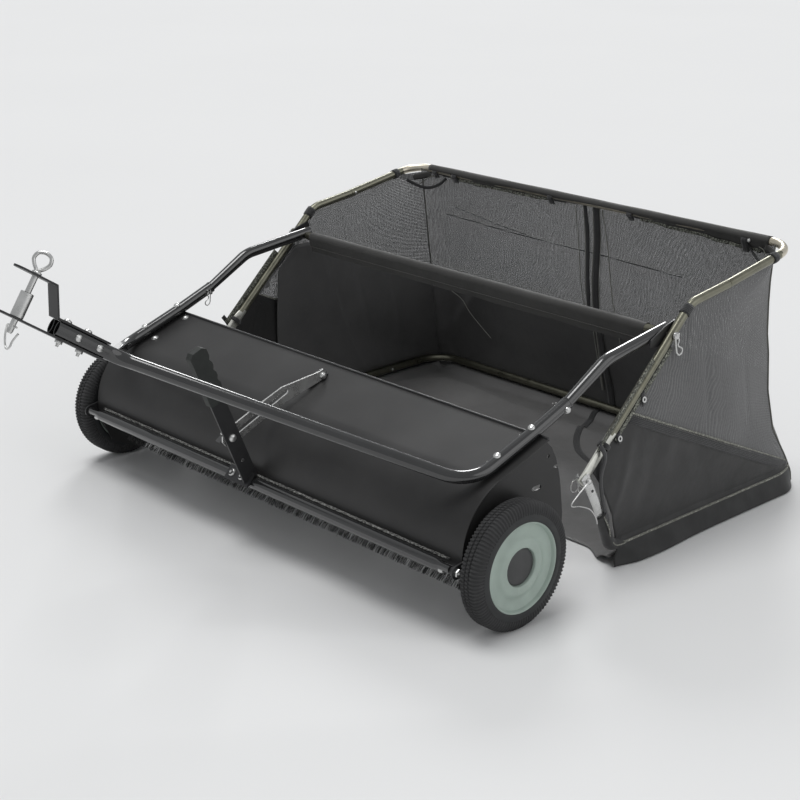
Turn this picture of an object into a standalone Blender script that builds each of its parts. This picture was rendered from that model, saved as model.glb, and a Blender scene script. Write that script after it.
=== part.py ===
"""Tow-behind lawn sweeper. Metres, +Z up, the hitch points to -Y and the hopper to +Y.

Lengths are given from the wheel axle: y is 0 at the axle, z is 0 on the ground and x is 0 on the
middle plane. The empty called machine then moves everything so that the box is centred on the origin.
"""
import math

import bmesh
import bpy
from mathutils import Vector

AXLE_Y = -0.16355

# Side plates: half the width over them, which everything beside them is placed from
PLATE_OUT, PLATE_SHEET = 0.5895, 0.0030
PLATE_IN = PLATE_OUT - PLATE_SHEET

# Wheels and drive
WHEEL_RADIUS = 0.127
WHEEL_IN = PLATE_OUT + 0.0145
RING_TEETH, PINION_TEETH, MODULE = 30, 8, 0.004
GEAR_DISTANCE = (RING_TEETH - PINION_TEETH) * MODULE / 2
BRUSH_Y = GEAR_DISTANCE * 0.9093
BRUSH_Z = WHEEL_RADIUS + GEAR_DISTANCE * 0.4160
BRUSH_RADIUS = 0.125

# Housing
SHELL_Y, SHELL_Z, SHELL_RADIUS, SHEET = 0.042, 0.150, 0.140, 0.002
LIP_ANGLE, ROLL_END_ANGLE = 186, 107
ROLL_END = (SHELL_Y + SHELL_RADIUS * math.cos(math.radians(ROLL_END_ANGLE)),
            SHELL_Z + SHELL_RADIUS * math.sin(math.radians(ROLL_END_ANGLE)))
TOP_LONG, TOP_TILT = 0.137543, 19.149
TOP_REAR = (ROLL_END[0] + TOP_LONG * math.cos(math.radians(TOP_TILT)),
            ROLL_END[1] + TOP_LONG * math.sin(math.radians(TOP_TILT)))

# Height adjustment
BAR_RADIUS, BAR_ANGLE, BAR_CLEAR = 0.0125, 184.7518, 0.006848
BAR_FAR = SHELL_RADIUS + BAR_CLEAR + BAR_RADIUS
BAR_Y = SHELL_Y + BAR_FAR * math.cos(math.radians(BAR_ANGLE))
BAR_Z = SHELL_Z + BAR_FAR * math.sin(math.radians(BAR_ANGLE))
LEVER_LOW, LEVER_HIGH, LEVER_WIDE = (BAR_Y - 0.0202, BAR_Z + 0.0012), (BAR_Y - 0.1432, BAR_Z + 0.2962), 0.036
CLAMP = (BAR_Y - 0.0482, BAR_Z + 0.1102)
STRAP_PIVOT_Y, STRAP_RISE = TOP_REAR[0] - 0.0490, 0.0090
STRAP_PIVOT = (STRAP_PIVOT_Y,
               TOP_REAR[1] - (TOP_REAR[0] - STRAP_PIVOT_Y) * math.tan(math.radians(TOP_TILT)) + STRAP_RISE)
SLOT_SLOPE = 6.322 + math.degrees(math.atan2(STRAP_PIVOT[1] - CLAMP[1], STRAP_PIVOT[0] - CLAMP[0]))

# Tow frame
TUBE_X, TUBE_RADIUS = PLATE_OUT - 0.0295, 0.0127
TONGUE_ANGLE = 33.7
TONGUE_AXIS = 0.159

# Hopper
SIDE_X, SIDE_RADIUS = PLATE_OUT - 0.0075, 0.0095
RAIL_X, RAIL_Z, RAIL_RADIUS = PLATE_OUT - 0.0175, 0.036, 0.0095
PIVOT_Y, PIVOT_Z = 0.495, 0.4555
LOW_PIN_Y, LOW_PIN_Z = 0.243, 0.2150
UPRIGHT_X, UPRIGHT_FOOT_Y, UPRIGHT_FOOT_Z = SIDE_X + 0.0090, 0.333, 0.050
UPRIGHT_TURN = (UPRIGHT_FOOT_Y - LOW_PIN_Y) / (LOW_PIN_Z - UPRIGHT_FOOT_Z)
CLOTH = 0.002
SIDE_CLOTH_X = PLATE_OUT + 0.0033
PANEL_TOP_Y, PANEL_TOP_Z = 0.9109, 0.574
CORNER_PULL, BACK_SAG = 0.070, 0.018
FLOOR_FRONT_Y = 0.335
REAR_TUBE_Y = 0.985
HUMP_Y = (FLOOR_FRONT_Y + REAR_TUBE_Y) / 2 - 0.0400
GAP = 0.0003
BACK_LEAN = math.atan2(REAR_TUBE_Y - PANEL_TOP_Y, PANEL_TOP_Z - RAIL_Z)
PANEL_LOW_Y = (PANEL_TOP_Y + (REAR_TUBE_Y - PANEL_TOP_Y + (RAIL_RADIUS + 0.00180) / math.cos(BACK_LEAN))
               * (PANEL_TOP_Z - CLOTH - 4 * GAP) / (PANEL_TOP_Z - RAIL_Z))
SIDES = (("left", 1), ("right", -1))


def finish(name, colour, metallic=0.0, roughness=0.5):
    made = bpy.data.materials.new(name)
    made.use_nodes = True
    shader = made.node_tree.nodes["Principled BSDF"]
    shader.inputs["Base Color"].default_value = (*colour, 1)
    shader.inputs["Metallic"].default_value = metallic
    shader.inputs["Roughness"].default_value = roughness
    made.diffuse_color = (*colour, 1)
    return made


def empty(name, place, parent=None):
    """An axis or a group. place is measured from the axle."""
    made = bpy.data.objects.new(name, None)
    bpy.context.collection.objects.link(made)
    made["place"] = tuple(place)
    if parent:
        made.parent = parent
        made.location = Vector(place) - Vector(parent["place"])
    return made


def mesh_object(name, shape, group):
    """shape is (points, faces), measured from the axle."""
    points, faces = shape
    base = Vector(group["place"])
    mesh = bpy.data.meshes.new(name)
    mesh.from_pydata([Vector(p) - base for p in points], [], faces)
    mesh.validate()
    work = bmesh.new()
    work.from_mesh(mesh)
    bmesh.ops.recalc_face_normals(work, faces=work.faces)
    work.to_mesh(mesh)
    work.free()
    made = bpy.data.objects.new(name, mesh)
    bpy.context.collection.objects.link(made)
    made.parent = group
    return made


def piece(name, shape, look, group, add=(), cut=()):
    """One node. The add shapes are joined to it, then the cut shapes are taken out of it."""
    made = mesh_object(name, shape, group)
    made.data.materials.append(finish(name + "_finish", *look))
    helpers = [("UNION", extra) for extra in add] + [("DIFFERENCE", extra) for extra in cut]
    for number, (operation, extra) in enumerate(helpers):
        helper = mesh_object(f"{name}_{operation.lower()}_{number}", extra, group)
        helper.hide_render = True
        helper.display_type = "WIRE"
        step = made.modifiers.new(operation.title(), "BOOLEAN")
        step.operation = operation
        step.solver = "EXACT"
        step.object = helper
    for face in made.data.polygons:
        face.use_smooth = False
    return made


def together(*shapes):
    """Shapes that don't touch each other, as one helper."""
    points, faces = [], []
    for more, sides in shapes:
        base = len(points)
        points += list(more)
        faces += [[base + i for i in side] for side in sides]
    return points, faces


def along(axis, a, b, c):
    """A point from two coordinates across the axis and one along it."""
    if axis == "X":
        return (c, a, b)
    if axis == "Y":
        return (a, c, b)
    return (a, b, c)


def prism(outline, axis, low, high):
    n = len(outline)
    points = [along(axis, a, b, low) for a, b in outline] + [along(axis, a, b, high) for a, b in outline]
    faces = [list(range(n)), list(range(n, 2 * n))]
    faces += [[i, (i + 1) % n, n + (i + 1) % n, n + i] for i in range(n)]
    return points, faces


def circle(a, b, radius, steps=16, start=0.0):
    turn = 2 * math.pi / steps
    return [(a + radius * math.cos(start + i * turn),
             b + radius * math.sin(start + i * turn)) for i in range(steps)]


def arc(a, b, radius, first, last, steps):
    """Points on an arc, the angles in degrees."""
    found = []
    for i in range(steps + 1):
        t = math.radians(first + (last - first) * i / steps)
        found.append((a + radius * math.cos(t), b + radius * math.sin(t)))
    return found


def rod(axis, a, b, radius, low, high, steps=16):
    return prism(circle(a, b, radius, steps), axis, low, high)


def hull(points):
    """The outline round a set of points."""
    points = sorted(set(points))

    def half(run):
        kept = []
        for p in run:
            while len(kept) > 1:
                (ax, ay), (bx, by) = kept[-2], kept[-1]
                if (bx - ax) * (p[1] - ay) - (by - ay) * (p[0] - ax) > 1e-12:
                    break
                kept.pop()
            kept.append(p)
        return kept[:-1]

    return half(points) + half(points[::-1])


def capsule(a, b, radius, steps=6):
    """A slot outline from a to b."""
    slope = math.degrees(math.atan2(b[1] - a[1], b[0] - a[0]))
    return arc(*b, radius, slope - 90, slope + 90, steps) + arc(*a, radius, slope + 90, slope + 270, steps)


def lathe(profile, a, b, axis="X", steps=32, start=0.0):
    """profile holds (radius, distance along the axis), closed or with both ends on the axis."""
    solid = profile[0][0] == 0
    points, rings = [], []
    for radius, far in profile:
        if radius == 0:
            rings.append([len(points)])
            points.append(along(axis, a, b, far))
            continue
        rings.append(list(range(len(points), len(points) + steps)))
        points += [along(axis, p, q, far) for p, q in circle(a, b, radius, steps, start)]
    faces = []
    pairs = list(zip(rings, rings[1:])) + ([] if solid else [(rings[-1], rings[0])])
    for low, high in pairs:
        for i in range(steps):
            j = (i + 1) % steps
            corners = [low[i % len(low)], low[j % len(low)], high[j % len(high)], high[i % len(high)]]
            faces.append(list(dict.fromkeys(corners)))
    return points, faces


def dome(axis, a, b, base, top, radius, steps=8):
    """A round bolt head that stands on base and reaches top."""
    rise = top - base
    return lathe([(0, base), (radius, base), (radius, base + 0.3 * rise), (0.6 * radius, base + 0.85 * rise),
                  (0, top)],
                 a, b, axis, steps)


def rounded(path, radii, steps=6):
    """The path with each inner corner made an arc of the radius given for it."""
    path = [Vector(p) for p in path]
    found = [path[0]]
    for before, corner, after, radius in zip(path, path[1:], path[2:], radii):
        come, go = (corner - before).normalized(), (after - corner).normalized()
        turn = come.angle(go)
        if radius == 0 or turn < 1e-4:
            found.append(corner)
            continue
        back = radius * math.tan(turn / 2)
        start = corner - come * back
        inward = (go - come * come.dot(go)).normalized()
        for i in range(steps + 1):
            t = turn * i / steps
            found.append(start + come * radius * math.sin(t) + inward * radius * (1 - math.cos(t)))
    found.append(path[-1])
    return found


def swept(path, radius, sides=14, across=None, sizes=None):
    """A bar along a path. across is the first wide direction, sizes has a (wide, tall) pair per point."""
    path = [Vector(p) for p in path]
    n = len(path)
    ways = []
    for i in range(n):
        ways.append((path[min(i + 1, n - 1)] - path[max(i - 1, 0)]).normalized())
    side = Vector(across) if across else ways[0].orthogonal()
    points = []
    for i in range(n):
        side = (side - ways[i] * side.dot(ways[i])).normalized()
        up = ways[i].cross(side)
        wide, tall = sizes[i] if sizes else (radius, radius)
        for k in range(sides):
            t = 2 * math.pi * (k + 0.5) / sides
            points.append(path[i] + side * wide * math.cos(t) + up * tall * math.sin(t))
    faces = [list(range(sides)), list(range((n - 1) * sides, n * sides))]
    for i in range(n - 1):
        for k in range(sides):
            j = (k + 1) % sides
            faces.append([i * sides + k, i * sides + j, (i + 1) * sides + j, (i + 1) * sides + k])
    return points, faces


def ring_of(centre, normal, major, minor, steps=20, sides=8):
    normal = Vector(normal).normalized()
    first = normal.orthogonal().normalized()
    second = normal.cross(first)
    points, faces = [], []
    for i in range(steps):
        t = 2 * math.pi * i / steps
        out = first * math.cos(t) + second * math.sin(t)
        for k in range(sides):
            s = 2 * math.pi * k / sides
            points.append(Vector(centre) + out * (major + minor * math.cos(s)) + normal * minor * math.sin(s))
            low, high = i * sides, (i + 1) % steps * sides
            faces.append([low + k, low + (k + 1) % sides, high + (k + 1) % sides, high + k])
    return points, faces


def cloth(point_at, across, down, thick=CLOTH):
    """A thin closed sheet. point_at takes two shares from 0 to 1."""
    grid = [[Vector(point_at(i / across, j / down)) for i in range(across + 1)] for j in range(down + 1)]
    points, faces = [], []
    for j, row in enumerate(grid):
        for i, p in enumerate(row):
            wide = row[min(i + 1, across)] - row[max(i - 1, 0)]
            tall = grid[min(j + 1, down)][i] - grid[max(j - 1, 0)][i]
            points.append((p, wide.cross(tall).normalized()))
    front = [p + n * thick / 2 for p, n in points]
    back = [p - n * thick / 2 for p, n in points]
    total, wide = len(points), across + 1
    for j in range(down):
        for i in range(across):
            a, b, c, d = j * wide + i, j * wide + i + 1, (j + 1) * wide + i + 1, (j + 1) * wide + i
            faces += [[a, b, c], [a, c, d], [total + c, total + b, total + a],
                      [total + d, total + c, total + a]]
    rim = [i for i in range(wide)] + [j * wide + across for j in range(1, down + 1)]
    rim += [down * wide + i for i in range(across - 1, -1, -1)] + [j * wide for j in range(down - 1, 0, -1)]
    for a, b in zip(rim, rim[1:] + rim[:1]):
        faces.append([b, a, total + a, total + b])
    return front + back, faces


def tongue(s, n, x=0.0):
    """A point beside the tongue: s along it from the axle, n square to it."""
    t = math.radians(TONGUE_ANGLE)
    return (x, -s * math.cos(t) + n * math.sin(t), s * math.sin(t) + n * math.cos(t))


def on_tongue(shape):
    """Moves a shape made with x across, y along s and z along n onto the tongue."""
    points, faces = shape
    return [tongue(y, z, x) for x, y, z in points], faces


PAINT = ((0.045, 0.045, 0.047), 0.1, 0.32)
SATIN = ((0.075, 0.074, 0.074), 0.1, 0.45)
ZINC = ((0.62, 0.62, 0.60), 0.9, 0.35)
GALVANISED = ((0.36, 0.36, 0.30), 0.8, 0.42)
RUBBER = ((0.030, 0.030, 0.030), 0.0, 0.75)
PALE = ((0.47, 0.53, 0.50), 0.0, 0.45)
BLACK = ((0.025, 0.025, 0.026), 0.0, 0.5)
FABRIC = ((0.045, 0.045, 0.046), 0.0, 0.85)
MESH_CLOTH = ((0.13, 0.13, 0.13), 0.0, 0.9)
GEAR = ((0.08, 0.08, 0.08), 0.0, 0.5)
BRISTLE = ((0.05, 0.05, 0.05), 0.0, 0.6)


def shell_outline():
    """The cover's section: roll and sloping top, outside then inside."""
    outside = arc(SHELL_Y, SHELL_Z, SHELL_RADIUS, LIP_ANGLE, ROLL_END_ANGLE, 10) + [TOP_REAR]
    inside = arc(SHELL_Y, SHELL_Z, SHELL_RADIUS - SHEET, LIP_ANGLE, ROLL_END_ANGLE, 10)
    inside += [(TOP_REAR[0] + 0.0006, TOP_REAR[1] - SHEET)]
    return outside + inside[::-1]


def top_height(y, below=0.0):
    """Height of the sloping top's outer face at y."""
    a, b = arc(SHELL_Y, SHELL_Z, SHELL_RADIUS, ROLL_END_ANGLE, ROLL_END_ANGLE, 1)[0]
    return b + (TOP_REAR[1] - b) * (y - a) / (TOP_REAR[0] - a) - below


def make_housing(group):
    bolts = []
    for _, s in SIDES:
        for y in (0.030, 0.118):
            bolts.append(dome("Z", s * (PLATE_OUT - 0.0545), y, top_height(y) - 0.001, top_height(y) + 0.0042,
                              0.007))
    piece("housing_cover", prism(shell_outline(), "X", -PLATE_OUT - 0.001, PLATE_OUT + 0.001), SATIN, group,
          add=[together(*bolts)])
    inner = SHELL_RADIUS - SHEET - 3 * GAP
    low = 0.0025
    outline = arc(SHELL_Y, SHELL_Z, inner, 200, ROLL_END_ANGLE, 11)
    outline += [(0.126, top_height(0.126, low)), (0.139, 0.312), (0.153, 0.286), (0.166, 0.238),
                (0.175, 0.169)]
    outline += [(0.172, 0.080), (0.150, 0.044), (0.120, 0.036), (-0.030, 0.036), (-0.068, 0.056)]
    for side, s in SIDES:
        x = sorted((s * PLATE_IN, s * PLATE_OUT))
        wide = sorted((s * (PLATE_IN - 0.01), s * (PLATE_OUT + 0.01)))
        flange = [(0.008, top_height(0.008, low)), (0.122, top_height(0.122, low)),
                  (0.122, top_height(0.122, low + 0.002)), (0.008, top_height(0.008, low + 0.002))]
        cuts = together(
            rod("X", BRUSH_Y, BRUSH_Z, 0.0206, *wide, 18),
            prism(capsule((0.091, 0.240), (0.108, 0.240), 0.0045, 4), "X", *wide),
            prism(capsule((0.149, 0.270), (0.156, 0.270), 0.003, 3), "X", *wide),
            rod("X", 0.130, 0.296, 0.004, *wide, 8),
        )
        lip = prism(flange, "X", *sorted((s * (PLATE_IN - 0.014), s * (PLATE_IN + 0.001))))
        piece("side_plate_" + side, prism(outline, "X", *x), SATIN, group, add=[lip], cut=[cuts])
        bore = 0.0083
        seat, end = PLATE_IN - GAP, PLATE_OUT + 0.0090
        far = [(bore, seat - 0.0082), (0.030, seat - 0.0082), (0.030, seat), (0.0200, seat), (0.0200, end),
               (bore, end)]
        piece("brush_bearing_" + side, lathe([(r, s * t) for r, t in far], BRUSH_Y, BRUSH_Z, steps=18), BLACK,
              group)


def make_tow_frame(group):
    slope = (TOP_REAR[1] - top_height(0.0)) / TOP_REAR[0]
    lift = (TUBE_RADIUS + 0.0004) / math.cos(math.atan(slope))
    for side, s in SIDES:
        x = s * TUBE_X
        joint = (x, 0.212, 0.375)
        near, far = (x, 0.118, top_height(0.118) + lift), (x, -0.048, top_height(-0.048) + lift)
        tip, neck = tongue(0.775, TONGUE_AXIS, s * 0.0105), tongue(0.622, TONGUE_AXIS, s * 0.0105)
        path = rounded([tip, neck, far, near, joint], [0.060, 0.085, 0.12], 4)
        sizes = [(0.0066, 0.0140), (0.0068, 0.0139), (0.0082, 0.0134), (0.0112, 0.0129)]
        sizes += [(TUBE_RADIUS, TUBE_RADIUS)] * (len(path) - len(sizes))
        holes = [rod("X", *PIN_C, 0.0034, s * TUBE_X - 0.03, s * TUBE_X + 0.03, 10)]
        bore = swept([Vector(joint) + (Vector(joint) - Vector(near)).normalized() * 0.01,
                      Vector(joint) - (Vector(joint) - Vector(near)).normalized() * 0.040], 0.0112)
        mouth = on_tongue(prism(capsule((s * 0.0105, -0.0085 + TONGUE_AXIS),
                                        (s * 0.0105, 0.0085 + TONGUE_AXIS), 0.0042, 3),
                                "Y", 0.745, 0.80))
        bolts = []
        for t in (0.675, 0.727):
            head = (dome("X", 0, 0, 0.0160, 0.0212, 0.0062) if s > 0
                    else rod("X", 0, 0, 0.0065, -0.0215, -0.0160, 6))
            _, y, z = tongue(t, TONGUE_AXIS)
            bolts.append(([(px, py + y, pz + z) for px, py, pz in head[0]], head[1]))
        heads = []
        for y in (0.021, 0.113):
            z = top_height(y) + lift
            heads.append(dome("Z", x, y, z + TUBE_RADIUS - 0.001, z + TUBE_RADIUS + 0.005, 0.0072))
        piece("hitch_tube_" + side, swept(path, TUBE_RADIUS, 10, (1, 0, 0), sizes), PAINT, group,
              add=[together(*bolts), together(*heads)], cut=[together(mouth), bore, holes[0]])
        start = Vector(joint) - (Vector(joint) - Vector(near)).normalized() * 0.036
        path = rounded([start, (x, 0.323, 0.4365), (s * (TUBE_X - 0.0070), 0.512, 0.4605)], [0.09], 4)
        n = len(path)
        way = (path[1] - path[0]).normalized()
        path[1:1] = [Vector(joint) + way * 0.0006, Vector(joint) + way * 0.006]
        sizes = [(0.0108, 0.0108)] * 2 + [(TUBE_RADIUS, TUBE_RADIUS)] * n
        through = rod("X", PIVOT_Y, PIVOT_Z, 0.0046, *sorted((s * (TUBE_X - 0.03), s * (TUBE_X + 0.06))), 12)
        piece("arm_tube_" + side, swept(path, TUBE_RADIUS, 10, None, sizes), PAINT, group,
              cut=[together(holes[0], through)])
        ends = sorted((s * (TUBE_X - 0.019), s * (TUBE_X + 0.0155)))
        heads = sorted((s * (TUBE_X + 0.0133), s * (TUBE_X + 0.0185)))
        clip = ring_of((s * (TUBE_X - 0.0165), PIN_C[0] - 0.004, PIN_C[1] - 0.019), (1, 0, 0.0), 0.0105,
                       0.0013, 9, 3)
        stem = rod("Z", s * (TUBE_X - 0.0165), PIN_C[0], 0.0013, PIN_C[1] - 0.012, PIN_C[1] + 0.006, 6)
        piece("arm_pin_" + side, rod("X", *PIN_C, 0.0030, *ends, 10), ZINC, group,
              add=[dome("X", *PIN_C, *(heads if s > 0 else heads[::-1]), 0.0065), stem, clip])


PIN_C = (0.2000, 0.3665)


def strap_section(path, thick):
    """The outline of a bent strap from its middle line."""
    path = [Vector(p) for p in path]
    low, high = [], []
    for i, p in enumerate(path):
        a = (p - path[i - 1]).normalized() if i else (path[1] - p).normalized()
        b = (path[i + 1] - p).normalized() if i + 1 < len(path) else a
        out = Vector((-(a + b).y, (a + b).x)).normalized()
        out *= thick / 2 / max(0.3, out.dot(Vector((-a.y, a.x))))
        low.append(tuple(p - out))
        high.append(tuple(p + out))
    return low + high[::-1]


def make_hitch(group, pin_group):
    wide = 0.0155
    top, bottom = TONGUE_AXIS + 0.0143, TONGUE_AXIS - 0.0143
    thick = 0.004
    upper = strap_section([(0.655, top + thick / 2), (0.783, top + thick / 2), (0.815, 0.2275),
                           (0.9045, 0.2275)], thick)
    lower = strap_section([(0.655, bottom - thick / 2), (0.9045, bottom - thick / 2)], thick)
    box_end = [(wide + 0.003, 0.888), (wide + 0.003, 0.912), (-wide - 0.003, 0.912), (-wide - 0.003, 0.888)]
    round_end = prism(box_end + arc(0, 0.888, wide + 0.0004, 180, 0, 8), "Z", 0.10, 0.26)
    hole = rod("Z", 0, 0.856, 0.0068, 0.10, 0.26, 16)
    heads = together(*[dome("Z", 0, t, top + thick - 0.0005, top + thick + 0.005, 0.0075)
                       for t in (0.702, 0.752)])
    stems = [rod("Z", 0, t, 0.0030, bottom + 0.0004, top + 0.001, 10) for t in (0.702, 0.752)]
    nuts = [rod("Z", 0, t, 0.0062, bottom - thick - 0.005, bottom - thick + 0.0005, 6)
            for t in (0.702, 0.752)]
    piece("hitch_strap_upper", on_tongue(prism(upper, "X", -wide, wide)), BLACK, group,
          add=[on_tongue(heads), on_tongue(together(*stems))], cut=[on_tongue(hole), on_tongue(round_end)])
    piece("hitch_strap_lower", on_tongue(prism(lower, "X", -wide, wide)), BLACK, group,
          add=[on_tongue(together(*nuts))], cut=[on_tongue(hole), on_tongue(round_end)])
    base = bottom + GAP
    tube = [(0.0068, base), (0.0125, base), (0.0125, base + 0.048), (0.0068, base + 0.048)]
    piece("hitch_spacer", on_tongue(lathe(tube, 0, 0.856, "Z", 20)), ZINC, group)
    collar = 0.2295 + GAP
    shaft = [(0, 0.114), (0.0045, 0.114), (0.0058, 0.119), (0.0058, collar), (0.0095, collar),
             (0.0095, collar + 0.004),
             (0.0050, collar + 0.006), (0, collar + 0.006)]
    loop = ring_of((0, 0.856, collar + 0.0225), (0.6, 0.8, 0), 0.0180, 0.0036, 14, 6)
    hole = rod("X", 0.856, 0.128, 0.0019, -0.02, 0.02, 8)
    piece("hitch_pin", on_tongue(lathe(shaft, 0, 0.856, "Z", 16)), ZINC, pin_group, add=[on_tongue(loop)],
          cut=[on_tongue(hole)])
    wire = [(0.016, 0.856, 0.128), (-0.012, 0.856, 0.128), (-0.020, 0.852, 0.122), (-0.020, 0.846, 0.100),
            (-0.014, 0.843, 0.088), (-0.004, 0.843, 0.086), (0.004, 0.844, 0.096), (0.0075, 0.8455, 0.113),
            (0.0120, 0.8455, 0.120)]
    piece("hitch_hairpin", on_tongue(swept(rounded(wire, [0.004] * 7, 2), 0.0015, 5)), ZINC, pin_group)


def make_strap_and_lever(root, height, strap, knob):
    along_strap = math.radians(SLOT_SLOPE)
    ux, uz = math.cos(along_strap), math.sin(along_strap)
    slot = capsule((CLAMP[0] - 0.004 * ux, CLAMP[1] - 0.004 * uz),
                   (CLAMP[0] + 0.160 * ux, CLAMP[1] + 0.160 * uz), 0.0047)
    middle = ((CLAMP[0] + STRAP_PIVOT[0]) / 2, (CLAMP[1] + STRAP_PIVOT[1]) / 2)
    runs = ((STRAP_PIVOT, [(0.0085, 0.0095), (0.001, 0.0140), (-0.012, 0.0105)]),
            (middle, [(0.0125, 0.0375), (-0.0495, 0.0145)]),
            (CLAMP, [(0.005, 0.0235), (-0.011, 0.0155), (-0.0195, 0.0050), (-0.0200, -0.0070),
                     (-0.0120, -0.0170), (0.001, -0.0200)]),
            (middle, [(-0.0435, -0.0230), (0.0265, 0.0040)]),
            (STRAP_PIVOT, [(-0.0120, -0.0115), (-0.0020, -0.0077), (0.0050, -0.0060), (0.0085, -0.0005)]))
    outline = [(base[0] + y, base[1] + z) for base, offsets in runs for y, z in offsets]
    face = (-0.0068, -0.0031)
    hole = rod("X", *STRAP_PIVOT, 0.0046, -0.02, 0.02, 12)
    piece("depth_strap", prism(outline, "X", *face), ZINC, strap, cut=[prism(slot, "X", -0.02, 0.02), hole])
    y, z = STRAP_PIVOT
    foot = top_height(y - 0.020) + 0.0014
    rise = 0.035 * math.tan(math.radians(TOP_TILT))
    upright = [(y - 0.022, foot), (y + 0.013, foot + rise), (y + 0.013, z + 0.006),
               (y + 0.006, z + 0.013), (y - 0.006, z + 0.013), (y - 0.020, z - 0.005)]
    base = [(y + way, top_height(y + way) + up) for way, up in ((-0.034, 0.0004), (0.018, 0.0004),
                                                                (0.018, 0.0034),
                                                                (-0.034, 0.0034))]
    bolt = [(0, -0.0085), (0.0043, -0.0085), (0.0043, -0.0027), (0.0075, -0.0027), (0.0070, -0.0005),
            (0.0040, 0.0015),
            (0, 0.002)]
    piece("strap_foot_bracket", prism(upright, "X", -0.0104, -0.0071), BLACK, root,
          add=[prism(base, "X", -0.042, -0.0071), lathe(bolt, *STRAP_PIVOT, steps=12),
               dome("Z", -0.027, y - 0.008, top_height(y - 0.008) + 0.002, top_height(y - 0.008) + 0.0078,
                    0.006)])

    way = Vector((LEVER_HIGH[0] - LEVER_LOW[0], LEVER_HIGH[1] - LEVER_LOW[1])).normalized()
    back = Vector((way.y, -way.x))
    a, b = Vector(LEVER_LOW) - way * 0.010, Vector(LEVER_HIGH)
    c = b + back * LEVER_WIDE
    d = a + back * LEVER_WIDE
    outline = [a, d, c - way * 0.009, c - back * 0.009, b + back * 0.009, b - way * 0.009]
    outline = [tuple(p) for p in outline]
    hug = rod("X", BAR_Y, BAR_Z, BAR_RADIUS + 0.0004, -0.09, 0.09, 28)
    out = Vector((-0.76, 0.65)).normalized()
    side = Vector((out.y, -out.x))
    middle = Vector((BAR_Y, BAR_Z)) + out * (BAR_RADIUS + 0.0026)
    plate = [middle - side * 0.0165 - out * 0.002, middle + side * 0.0165 - out * 0.002,
             middle + side * 0.0165 + out * 0.002, middle - side * 0.0165 + out * 0.002]
    plate = prism([tuple(p) for p in plate], "X", -0.064, 0.012)
    heads = []
    for x in (-0.049, -0.017):
        top = middle + out * 0.0075
        base_point = middle + out * 0.0010
        heads.append(swept([(x, *base_point), (x, *top)], 0.0068, 8))
    clear_cover = rod("X", BRUSH_Y, BRUSH_Z, SHELL_RADIUS + SHEET + 0.0030, -0.09, 0.09, 64)
    bolt_hole = rod("X", *CLAMP, 0.0040, -0.02, 0.02, 12)
    small_hole = rod("X", BAR_Y - 0.0242, BAR_Z + 0.0562, 0.0035, -0.02, 0.02, 10)
    piece("depth_lever", prism(outline, "X", -0.0025, 0.0025), BLACK, height, add=[plate, *heads],
          cut=[hug, clear_cover, bolt_hole, small_hole])
    low = b - way * 0.118
    grip = [low + way * 0.003 - back * 0.0030, low + back * 0.002, low + back * (LEVER_WIDE - 0.002),
            low + way * 0.003 + back * (LEVER_WIDE + 0.003)]
    for i in range(4):
        along_grip = low + way * (0.016 + i * 0.024) + back * (LEVER_WIDE + 0.003)
        grip += [along_grip, along_grip + way * 0.008 - back * 0.0035, along_grip + way * 0.016]
    grip += [b + way * 0.002 + back * (LEVER_WIDE + 0.003), b + way * 0.010 + back * (LEVER_WIDE - 0.006),
             b + way * 0.010 + back * 0.006, b + way * 0.002 - back * 0.0030]
    cavity = [low - way * 0.01 - back * 0.0003, low - way * 0.01 + back * (LEVER_WIDE + 0.0003),
              b + way * 0.0003 + back * (LEVER_WIDE + 0.0003), b + way * 0.0003 - back * 0.0003]
    piece("lever_grip", prism([tuple(p) for p in grip], "X", -0.0085, 0.0085), RUBBER, height,
          cut=[prism([tuple(p) for p in cavity], "X", -0.0028, 0.0028)])
    bolt = [(0, -0.0330), (0.0030, -0.0330), (0.0030, 0.0028), (0.0085, 0.0028), (0.0082, 0.0046),
            (0.0050, 0.0072),
            (0, 0.0080)]
    piece("clamp_bolt", lathe(bolt, *CLAMP, steps=14), ZINC, height)
    hub = [(0.0034, -0.0225), (0.0034, -0.0075), (0.0120, -0.0075), (0.0125, -0.0105), (0.0080, -0.0135),
           (0.0072, -0.0225)]
    wings = []
    for turn in (30, 210):
        t = math.radians(turn)
        u, v = Vector((math.cos(t), math.sin(t))), Vector((-math.sin(t), math.cos(t)))
        at = Vector(CLAMP)
        corners = [at + u * 0.0060 - v * 0.0022, at + u * 0.0210 - v * 0.0018, at + u * 0.0210 + v * 0.0018,
                   at + u * 0.0060 + v * 0.0022]
        wings.append(prism([tuple(p) for p in corners], "X", -0.0290, -0.0135))
    piece("clamp_knob", lathe(hub, *CLAMP, steps=16), BLACK, knob, add=wings)


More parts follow.
